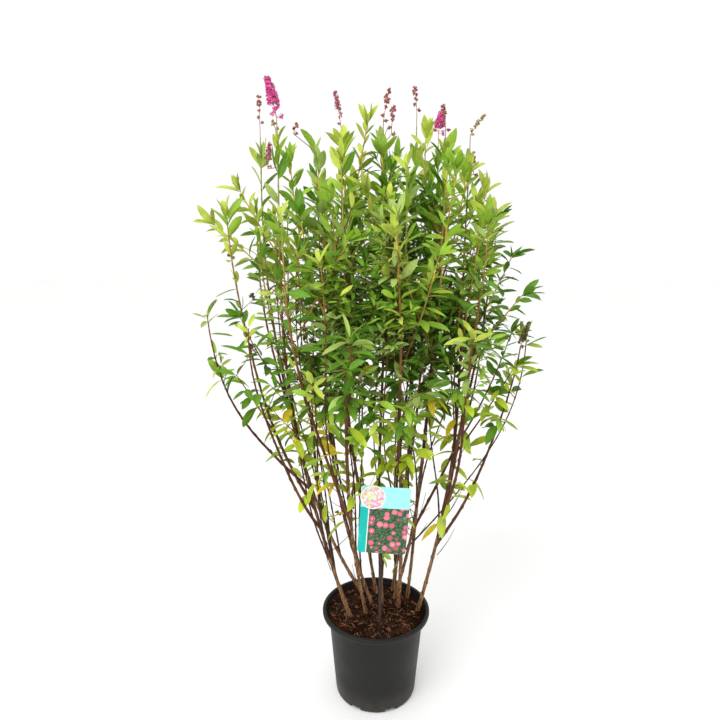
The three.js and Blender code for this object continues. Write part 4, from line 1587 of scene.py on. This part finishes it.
def make_leaves(leaves, rows_by_tone):
    """The leaves, in one piece for each tone, and the stalks and ribs of the large ones."""
    long_blade, short_blade = leaf_pattern(BLADE_ROWS["long"]), leaf_pattern(BLADE_ROWS["short"])
    stalk = bar_pattern(RIB["sides"], RIB["rings"])
    all_ribs = Bundle()
    for tone, rows in rows_by_tone.items():
        large = [row for row in rows if row[LENGTH_COLUMN] > LONG_LEAF]
        small = [row for row in rows if row[LENGTH_COLUMN] <= LONG_LEAF]
        bundle = Bundle()
        for blade, some in ((long_blade, large), (short_blade, small)):
            if some:
                chart = np.stack([blade.corners[:, 0] / 2 + 0.5, blade.corners[:, 1]], axis=-1)
                bundle.add(blade, blades(blade, some), chart)
        piece = new_piece(f"leaves_{tone}", bundle.mesh(tone), leaf_finish(tone, getattr(leaves, tone)))
        hand_over(piece, "foliage", *solids("foliage_"))
        if large:
            all_ribs.add(stalk, ribs(stalk, large))
    rib_colour = [lerp(fresh, lime, 0.45) for fresh, lime in zip(leaves.fresh, leaves.lime)]
    piece = new_piece("leaf_ribs", all_ribs.mesh("ribs"), leaf_finish("ribs", rib_colour))
    hand_over(piece, "foliage", *solids("foliage_"))


# -------------------------------- flower spikes


def floret_pattern():
    """A small five-petalled flower with a puff of stamens."""
    form = bmesh.new()
    bmesh.ops.create_circle(form, cap_ends=True, cap_tris=True, segments=10, radius=1)
    for vert in form.verts:
        away = Vector((vert.co.x, vert.co.y)).length
        if away < 0.5:
            vert.co.z = -0.25
            continue
        order = round(math.atan2(vert.co.y, vert.co.x) / math.tau * 10)
        if order % 2:
            vert.co *= 0.52
        vert.co.z = 0.18
    for order in range(5):
        turn = Matrix.Rotation(order * math.tau / 5 + 0.3, 4, "Z") @ Matrix.Rotation(0.5, 4, "Y")
        stamen = turn @ Matrix.Translation((0, 0, 0.45))
        bmesh.ops.create_cone(
            form, cap_ends=True, segments=3, radius1=0.11, radius2=0.05, depth=1.1, matrix=stamen
        )
    return Pattern(form)


def capsule_pattern():
    """A small round capsule that comes to a point."""
    form = bmesh.new()
    bmesh.ops.create_icosphere(form, subdivisions=1, radius=1)
    for vert in form.verts:
        if vert.co.z > 0.8:
            vert.co.z = 1.5
    return Pattern(form)


def spike_axis(base, length, lean):
    """The spike's axis as a twig: it stands up from its base and leans over towards its top."""
    aside = math.tan(math.radians(lean)) * length
    return base, base + Vector((aside * 0.35, 0, length * 0.5)), base + Vector((aside, 0, length))


def spike_places(spike, axis, draw):
    """The places of a spike's flowers and the way each faces, in clusters, looser towards its foot."""
    length = (axis[2] - axis[0]).length
    places, outs = [], []
    height, order = 0.0, 0
    while height < length:
        share = height / length
        single = share < spike["loose"]
        slim = lerp(1.0, 0.35, max(share - 0.45, 0) / 0.55)
        for cluster in range(1 if single else spike["clusters"]):
            turn = order * 2.4 + cluster * math.tau / spike["clusters"]
            out = Vector((math.cos(turn), math.sin(turn), 0.25)).normalized()
            place, _ = on_run(axis, min(share + draw.uniform(-0.3, 0.3) * spike["apart"] / length, 1))
            middle = place + out * spike["off_axis"] * slim * (1.15 if single else 1)
            for _ in range(round(spike["flowers"] * lerp(0.6, 1, slim))):
                way = Vector([draw.gauss(0, 1) for _ in range(3)]).normalized()
                places.append(middle + way * spike["cluster"] * lerp(0.65, 1, slim) * draw.random() ** 0.4)
                outs.append((way + out * 0.8 + UP * 0.3).normalized())
        height += spike["apart"] * (1.55 if single else 1)
        order += 1
    return places, outs


def facing(outs, draw):
    """Turns that point a pattern's Z along each direction."""
    turns = []
    for out in outs:
        turn = out.to_track_quat("Z", "Y").to_matrix() @ Matrix.Rotation(draw.uniform(0, math.tau), 3, "Z")
        turns.append(np.array(turn))
    return np.array(turns)


def all_spikes(tips):
    """Every spike: its kind, the place its stalk comes from, its base, its lean and its length."""
    spikes = []
    for name, (kind, stalk, length, lean) in BLOOMS.items():
        foot = ALL_LINES[name].point(crest(name, ALL_LINES[name]))
        spikes.append((kind, foot, foot + Vector((0, 0, max(stalk, 0) - 0.003)), lean, length))
    for kind, place, length, lean in SMALL_BLOOMS:
        base = Vector(place)
        foot = min(tips, key=lambda point: (point - base).length + 4 * max(point.z - base.z, 0))
        if base.z < LOWEST_TWIGS:
            foot = nearest_limb(base)
        spikes.append((kind, foot, base, lean, length))
    return spikes


def make_blooms(blooms, tips):
    """The flower spikes, in one piece for each kind, and their stalks."""
    draw = random.Random(SEEDS["blooms"])
    patterns = {"floret": floret_pattern(), "capsule": capsule_pattern()}
    bundles = {kind: Bundle() for kind in SPIKES}
    stalks = []
    for kind, foot, base, lean, length in all_spikes(tips):
        spike = SPIKES[kind]
        axis = spike_axis(base, length, lean)
        places, outs = spike_places(spike, axis, draw)
        sizes = np.array([spike["flower"] * draw.uniform(0.75, 1.2) for _ in places])
        pattern = patterns[spike["pattern"]]
        corners = np.einsum("nij,vj->nvi", facing(outs, draw), pattern.corners) * sizes[:, None, None]
        bundles[kind].add(pattern, np.array([tuple(place) for place in places])[:, None, :] + corners)
        stalks.append((foot, foot.lerp(base, 0.5), base, *STALK_RADII["stalk"]))
        stalks.append((*axis, *STALK_RADII["axis"]))
        for place in places[::4]:
            root, _ = on_run(axis, min(max((place.z - base.z) / length - 0.06, 0), 1))
            stalks.append((root, root.lerp(place, 0.5), place, *STALK_RADII["cluster"]))

    for kind, bundle in bundles.items():
        material = petal_finish(kind, getattr(blooms, kind))
        hand_over(new_piece(f"blooms_{kind}", bundle.mesh(kind), material), "bloom", *solids("foliage_"))
    bundle = Bundle()
    add_runs(bundle, stalks, 4, 5)
    piece = new_piece("bloom_stalks", bundle.mesh("stalks"), bark_finish("stalks", STALK_BARK))
    hand_over(piece, "bloom", *solids("foliage_"))


# -------------------------------- pot and soil


def wall_radius(pot, z):
    return lerp(pot.foot_radius, pot.neck_radius, z / (pot.height - pot.rim_height))


def pot_outline(pot):
    """Half the pot's section, from the middle of its floor, out and up the wall, over the rim and back."""
    neck = pot.height - pot.rim_height - 0.007
    rim_foot = pot.height - pot.rim_height
    rim, top = pot.rim_radius, pot.height
    ring = pot.foot_radius - DRAIN["ring"]
    recess = DRAIN["recess"]
    return [
        (0, recess),
        (ring - 0.002, recess),
        (ring - 0.0005, recess - 0.0006),
        (ring, 0.001),
        (ring + 0.001, 0),
        *arc(wall_radius(pot, 0) - 0.0052, 0.005, 0.005, -90, -8, 7),
        (wall_radius(pot, 0.0075), 0.0075),
        *((wall_radius(pot, z), z) for z in np.linspace(0.012, neck - 0.006, 14)),
        (wall_radius(pot, neck) + 0.0002, neck - 0.002),
        (wall_radius(pot, neck) + 0.0011, neck + 0.0006),
        *((rim - inward, rim_foot + up) for inward, up in RIM_SIDE),
        (rim + 0.0001, top - 0.0046),
        *arc(rim - 0.0030, top - 0.0030, 0.0030, 0, 90, 6),
        *arc(rim - 0.0056, top - 0.0018, 0.0018, 90, 172, 4),
        (rim - 0.0086, top - 0.0060),
        (rim - 0.0112, rim_foot - 0.0024),
        (wall_radius(pot, neck) - 0.0014, neck - 0.001),
        (wall_radius(pot, neck) - pot.wall, neck - 0.006),
        (wall_radius(pot, 0.018) - pot.wall, 0.018),
        (wall_radius(pot, 0.014) - pot.wall - 0.002, recess + 0.003),
        (0, recess + 0.003),
    ]


def make_pot(pot):
    """The pot is spun from its section, and its drainage notches are cut out of the foot."""
    shell = new_piece("pot_shell", mesh_from(turned(pot_outline(pot), 144), "pot"), pot_finish(pot.colour))
    cutters = bmesh.new()
    for order in range(pot.drains):
        turn = Matrix.Rotation(math.radians(DRAIN["first"] + order * 360 / pot.drains), 4, "Z")
        size = Matrix.Diagonal((DRAIN["ring"] * 3, DRAIN["width"], DRAIN["height"] * 2, 1))
        place = turn @ Matrix.Translation((pot.foot_radius, 0, 0)) @ size
        bmesh.ops.create_cube(cutters, size=1, matrix=place)
    cutter = bpy.data.objects.new("drains", mesh_from(cutters, "drains"))
    bpy.context.scene.collection.objects.link(cutter)
    cut = shell.modifiers.new("drains", "BOOLEAN")
    cut.operation, cut.solver, cut.object = "DIFFERENCE", "EXACT", cutter
    depsgraph = bpy.context.evaluated_depsgraph_get()
    whole = bpy.data.meshes.new_from_object(shell.evaluated_get(depsgraph))
    shell.modifiers.clear()
    shell.data = whole
    whole.set_sharp_from_angle(angle=math.radians(40))
    bpy.data.objects.remove(cutter)
    hand_over(shell, "pot", "pot")


def soil_height(x, y, relief):
    """The compost's surface: slow swells, crumbly lumps, and a slight rise round each stem."""
    place = Vector((x, y, 0))
    swell = sum(noise.noise(place * rate) * height for rate, height in SOIL["swells"])
    crumb = sum(noise.noise(place * rate) * height for rate, height in SOIL["lumps"])
    away = (math.dist((x, y), line.foot) / SOIL["mound_radius"] for line in STEM_LINES.values())
    mound = max(math.exp(-(distance**2)) for distance in away)
    return SOIL_LEVEL - 0.0012 + relief * (swell + crumb) * 0.6 + SOIL["mound"] * mound


def soil_outline(pot, edge):
    """Half the compost's section: over its flat top, and down inside the pot's wall."""
    bottom = DRAIN["recess"] + SOIL["from_floor"]
    return [
        *((edge * step / 46, SOIL_LEVEL) for step in range(47)),
        (edge - 0.0008, SOIL_LEVEL - 0.0024),
        *((wall_radius(pot, z) - pot.wall - SOIL["from_wall"], z) for z in (0.181, 0.170, 0.12, 0.06, 0.020)),
        (wall_radius(pot, bottom) - pot.wall - 0.004, bottom),
        (0, bottom),
    ]


def strewn(count, reach, lift, relief, luck):
    """Random places on the compost, that far out from its middle at most."""
    away = reach * np.sqrt(luck.random(count))
    angle = luck.random(count) * math.tau
    x, y = away * np.cos(angle), away * np.sin(angle)
    z = np.array([soil_height(px, py, relief) for px, py in zip(x, y)])
    return np.stack([x, y, z + lift], axis=-1)


def make_soil_bed(soil, pot, edge):
    form = turned(soil_outline(pot, edge), 150)
    for vert in form.verts:
        if vert.co.z > SOIL_LEVEL - 1e-5:
            vert.co.z = soil_height(vert.co.x, vert.co.y, soil.relief)
    bed = new_piece("soil_bed", mesh_from(form, "soil"), soil_finish("compost", soil.colour))
    hand_over(bed, "soil", "soil")


def make_crumbs(soil, edge, luck):
    form = bmesh.new()
    bmesh.ops.create_icosphere(form, subdivisions=1, radius=1)
    grain = Pattern(form)
    smallest, more, rarity = SOIL["crumb"]
    sizes = smallest + more * luck.random((soil.crumbs, 1)) ** rarity
    places = strewn(soil.crumbs, edge - 0.002, 0.0003, soil.relief, luck)
    stretched = sizes * luck.uniform(0.6, 1.4, (soil.crumbs, 3))
    bundle = Bundle()
    bundle.add(grain, scattered(grain, places, stretched, luck))
    material = soil_finish("crumbs", soil.colour, light=3.4, scale=330)
    hand_over(new_piece("soil_crumbs", bundle.mesh("crumbs"), material, smooth=False), "soil", "soil")


def make_chips(soil, edge, luck):
    """Flat chips of bark with worn edges, lying on the compost."""
    form = bmesh.new()
    bmesh.ops.create_cube(form, size=2)
    edges = form.edges[:]
    bmesh.ops.bevel(form, geom=edges, offset=0.34, segments=1, profile=0.5, affect="EDGES", material=-1)
    chip = Pattern(form)
    places = strewn(soil.chips, edge - 0.010, 0.0008, soil.relief, luck)
    smallest, more, rarity = SOIL["chip"]
    long = smallest + more * luck.random(soil.chips) ** rarity
    wide = long * luck.uniform(*SOIL["chip_width"], soil.chips)
    thick = luck.uniform(*SOIL["chip_thickness"], soil.chips)
    chips = scattered(chip, places * 0, np.stack([long, wide, thick], -1), luck)
    bundle = Bundle()
    bundle.add(chip, chips * (1, 1, 0.42) + places[:, None, :])
    material = chip_finish(soil.chip_colour)
    hand_over(new_piece("soil_chips", bundle.mesh("chips"), material, smooth=False), "soil", "soil")


def make_fibres(soil, edge, luck):
    draw = random.Random(SEEDS["soil"])
    runs = []
    for place in strewn(soil.fibres, edge - 0.012, 0.0008, soil.relief, luck):
        root = Vector(place)
        turn, reach = draw.uniform(0, math.tau), draw.uniform(*SOIL["fibre"])
        middle = root + heading(turn, draw.uniform(10, 50)) * reach * 0.5
        end = root + heading(turn + draw.uniform(-0.9, 0.9), draw.uniform(-4, 12)) * reach
        runs.append((root, middle, end, *SOIL["fibre_radii"]))
    bundle = Bundle()
    add_runs(bundle, runs, 4, 6)
    hand_over(new_piece("soil_fibres", bundle.mesh("fibres"), fibre_finish()), "soil", "soil")


def make_soil(settings):
    """The compost, and the crumbs, chips and fibres that lie on it."""
    soil = settings.soil
    edge = settings.pot.rim_radius - SOIL["from_rim"]
    luck = np.random.default_rng(SEEDS["soil"])
    make_soil_bed(soil, settings.pot, edge)
    make_crumbs(soil, edge, luck)
    make_chips(soil, edge, luck)
    make_fibres(soil, edge, luck)


# -------------------------------- tag


def disc_centre():
    """The badge's centre, from the card's centre."""
    return (-TAG["width"] / 2 + TAG["disc_radius"] * 0.92, TAG["height"] / 2 - TAG["disc_radius"] * 0.9)


def stand_card(form, forward):
    """Stands a flat shape up at the tag's place, leaning as it does, that far in front of the card."""
    x, y, z = TAG["centre"]
    place = Matrix.Translation((x, y - forward, z)) @ Matrix.Rotation(math.radians(TAG["lean"]), 4, "Y")
    bmesh.ops.transform(form, matrix=place @ Matrix.Rotation(math.pi / 2, 4, "X"), verts=form.verts)


def make_card(tag):
    """A thin card with round corners that bows slightly forward in its middle."""
    form = bmesh.new()
    bmesh.ops.create_grid(form, x_segments=1, y_segments=1, size=0.5)
    bmesh.ops.scale(form, vec=(TAG["width"], TAG["height"], 1), verts=form.verts)
    corners, round_off = form.verts[:], TAG["corner"]
    bmesh.ops.bevel(
        form, geom=corners, offset=round_off, segments=6, profile=0.5, affect="VERTICES", material=-1
    )
    for step in range(1, 12):
        cut = Vector((TAG["width"] * (step / 12 - 0.5), 0, 0))
        whole = form.verts[:] + form.edges[:] + form.faces[:]
        bmesh.ops.bisect_plane(form, geom=whole, plane_co=cut, plane_no=(1, 0, 0))
    for vert in form.verts:
        off_middle = vert.co.x / (TAG["width"] / 2)
        vert.co.z = TAG["bow"] * (1 - off_middle**2) - TAG["sheet"]
    bmesh.ops.solidify(form, geom=form.faces[:], thickness=TAG["sheet"])
    bmesh.ops.recalc_face_normals(form, faces=form.faces)
    stand_card(form, 0.0)
    card = new_piece("tag_sheet", mesh_from(form, "card"), card_finish(tag), smooth=False)
    hand_over(card, "tag", "tag_card")


def make_badge():
    form = bmesh.new()
    bmesh.ops.create_circle(form, cap_ends=True, segments=64, radius=TAG["disc_radius"])
    rim = bmesh.ops.extrude_face_region(form, geom=form.faces[:])
    raised = [item for item in rim["geom"] if isinstance(item, bmesh.types.BMVert)]
    bmesh.ops.translate(form, vec=(0, 0, 0.0009), verts=raised)
    bmesh.ops.scale(form, vec=(0.985, 0.985, 1), verts=raised)
    bmesh.ops.recalc_face_normals(form, faces=form.faces)
    bmesh.ops.translate(form, vec=(*disc_centre(), 0), verts=form.verts)
    stand_card(form, 0.0012)
    badge = new_piece("tag_badge", mesh_from(form, "badge"), badge_finish(), smooth=False)
    hand_over(badge, "tag", "tag_card")


def make_stake(tag):
    """A strip that rises out of the compost, bends forward under the card and runs up behind it."""
    x, foot_y = TAG["stake_foot"]
    behind = TAG["centre"][1] + TAG["thick"] / 2 + 0.0003 + TAG["stake_thick"] / 2
    path = [
        (foot_y, STEM_START - 0.006),
        (foot_y, STEM_START),
        (behind, TAG["centre"][2] - TAG["height"] / 2 - TAG["stake_knee"]),
        (behind, TAG["centre"][2] + TAG["height"] * 0.2),
    ]
    form = bmesh.new()
    section = Matrix.Diagonal((TAG["stake_width"], TAG["stake_thick"], 1, 1))
    bmesh.ops.create_cube(form, size=1, matrix=section)
    edges = uprights(form)
    bmesh.ops.bevel(form, geom=edges, offset=0.0007, segments=2, profile=0.5, affect="EDGES", material=-1)
    bmesh.ops.subdivide_edges(form, edges=uprights(form), cuts=len(path) - 2, use_grid_fill=True)
    for vert in form.verts:
        step = round((vert.co.z + 0.5) * (len(path) - 1))
        y, z = path[step]
        narrow = TAG["stake_narrow"] if step < 2 else 1.0
        vert.co = (x + vert.co.x * narrow, y + vert.co.y, z)
    bmesh.ops.recalc_face_normals(form, faces=form.faces)
    strip = new_piece("stake_strip", mesh_from(form, "stake"), stake_finish(tag), smooth=False)
    hand_over(strip, "stake", "tag_stake")


# -------------------------------- stage


def make_floor(stage):
    form = bmesh.new()
    bmesh.ops.create_grid(form, x_segments=4, y_segments=4, size=stage.floor)
    floor = new_piece("floor", mesh_from(form, "floor"), floor_finish(stage.floor_colour))


def make_light(stage):
    """White surroundings, and one large lamp in front of the plant to its left."""
    world = bpy.data.worlds.new("studio")
    world.use_nodes = True
    surroundings = world.node_tree.nodes["Background"]
    surroundings.inputs["Color"].default_value = (1, 1, 1, 1)
    surroundings.inputs["Strength"].default_value = stage.sky
    bpy.context.scene.world = world
    bpy.context.scene.view_settings.view_transform = "Standard"

    light = bpy.data.lights.new("key", "AREA")
    light.shape, light.size, light.energy = "SQUARE", LAMP["size"], stage.key
    lamp = bpy.data.objects.new("key", light)
    lamp.location = LAMP["place"]
    aim = Vector(LAMP["aim"]) - lamp.location
    lamp.rotation_euler = aim.to_track_quat("-Z", "Y").to_euler()
    bpy.context.scene.collection.objects.link(lamp)


def make_camera(stage):
    data = bpy.data.cameras.new("camera")
    data.lens, data.sensor_width = stage.lens, SENSOR_WIDTH
    camera = bpy.data.objects.new("camera", data)
    camera.location = (stage.camera_side, -stage.camera_distance, stage.camera_height)
    camera.rotation_euler = (math.radians(90 - stage.camera_tilt), 0, 0)
    bpy.context.scene.collection.objects.link(camera)
    bpy.context.scene.camera = camera


# -------------------------------- operators and panel


class SPIREA_OT_stage(bpy.types.Operator):
    """Lay the floor and set the light and the camera."""

    bl_idname = "spirea.stage"
    bl_label = "Stage"

    def execute(self, context):
        stage = context.scene.spirea.stage
        make_floor(stage)
        make_light(stage)
        make_camera(stage)
        return {"FINISHED"}


class SPIREA_OT_pot(bpy.types.Operator):
    """Spin the nursery pot and cut its drainage notches."""

    bl_idname = "spirea.pot"
    bl_label = "Pot"

    def execute(self, context):
        make_pot(context.scene.spirea.pot)
        return {"FINISHED"}


class SPIREA_OT_soil(bpy.types.Operator):
    """Fill the pot with compost, crumbs, bark chips and fibres."""

    bl_idname = "spirea.soil"
    bl_label = "Soil"

    def execute(self, context):
        make_soil(context.scene.spirea)
        return {"FINISHED"}


class SPIREA_OT_limbs(bpy.types.Operator):
    """Grow the bare wood: stems, boughs and thin whips."""

    bl_idname = "spirea.limbs"
    bl_label = "Stems and boughs"

    def execute(self, context):
        limbs = context.scene.spirea.limbs
        make_stems(limbs)
        make_boughs(limbs)
        make_whips(limbs)
        return {"FINISHED"}


class SPIREA_OT_foliage(bpy.types.Operator):
    """Grow the leafy shoots, their side twigs and the leaves."""

    bl_idname = "spirea.foliage"
    bl_label = "Shoots and leaves"

    def execute(self, context):
        settings = context.scene.spirea
        growth = grow(settings.leaves)
        make_shoots(settings.limbs, settings.leaves)
        make_twigs(settings.limbs, growth.twigs)
        make_leaves(settings.leaves, growth.leaves)
        return {"FINISHED"}


class SPIREA_OT_blooms(bpy.types.Operator):
    """Set the flower spikes on the tips of the shoots."""

    bl_idname = "spirea.blooms"
    bl_label = "Flower spikes"

    def execute(self, context):
        settings = context.scene.spirea
        make_blooms(settings.blooms, grow(settings.leaves).tips)
        return {"FINISHED"}


class SPIREA_OT_tag(bpy.types.Operator):
    """Make the plant tag: its card, badge and stake."""

    bl_idname = "spirea.tag"
    bl_label = "Tag"

    def execute(self, context):
        tag = context.scene.spirea.tag
        make_card(tag)
        make_badge()
        make_stake(tag)
        return {"FINISHED"}


class SPIREA_PT_sidebar(bpy.types.Panel):
    """Lists the pieces of the potted spirea and their settings."""

    bl_label = "Potted spirea"
    bl_idname = "SPIREA_PT_sidebar"
    bl_space_type = "VIEW_3D"
    bl_region_type = "UI"
    bl_category = "Spirea"

    def draw(self, context):
        settings = context.scene.spirea
        for operator, group in STEPS:
            box = self.layout.box()
            box.operator(operator.bl_idname)
            for name in getattr(settings, group).bl_rna.properties.keys():
                if name not in ("rna_type", "name"):
                    box.prop(getattr(settings, group), name)


STEPS = (
    (SPIREA_OT_stage, "stage"),
    (SPIREA_OT_pot, "pot"),
    (SPIREA_OT_soil, "soil"),
    (SPIREA_OT_limbs, "limbs"),
    (SPIREA_OT_foliage, "leaves"),
    (SPIREA_OT_blooms, "blooms"),
    (SPIREA_OT_tag, "tag"),
)

CLASSES = (
    PotSettings,
    SoilSettings,
    LimbSettings,
    LeafSettings,
    BloomSettings,
    TagSettings,
    StageSettings,
    SpireaSettings,
    *(operator for operator, _ in STEPS),
    SPIREA_PT_sidebar,
)


def register():
    for cls in CLASSES:
        bpy.utils.register_class(cls)
    bpy.types.Scene.spirea = PointerProperty(type=SpireaSettings)


def unregister():
    del bpy.types.Scene.spirea
    for cls in reversed(CLASSES):
        bpy.utils.unregister_class(cls)


def main():
    register()
    bpy.ops.spirea.stage()
    bpy.ops.spirea.pot()
    bpy.ops.spirea.soil()
    bpy.ops.spirea.limbs()
    bpy.ops.spirea.foliage()
    bpy.ops.spirea.blooms()
    bpy.ops.spirea.tag()


if __name__ == "__main__":
    main()
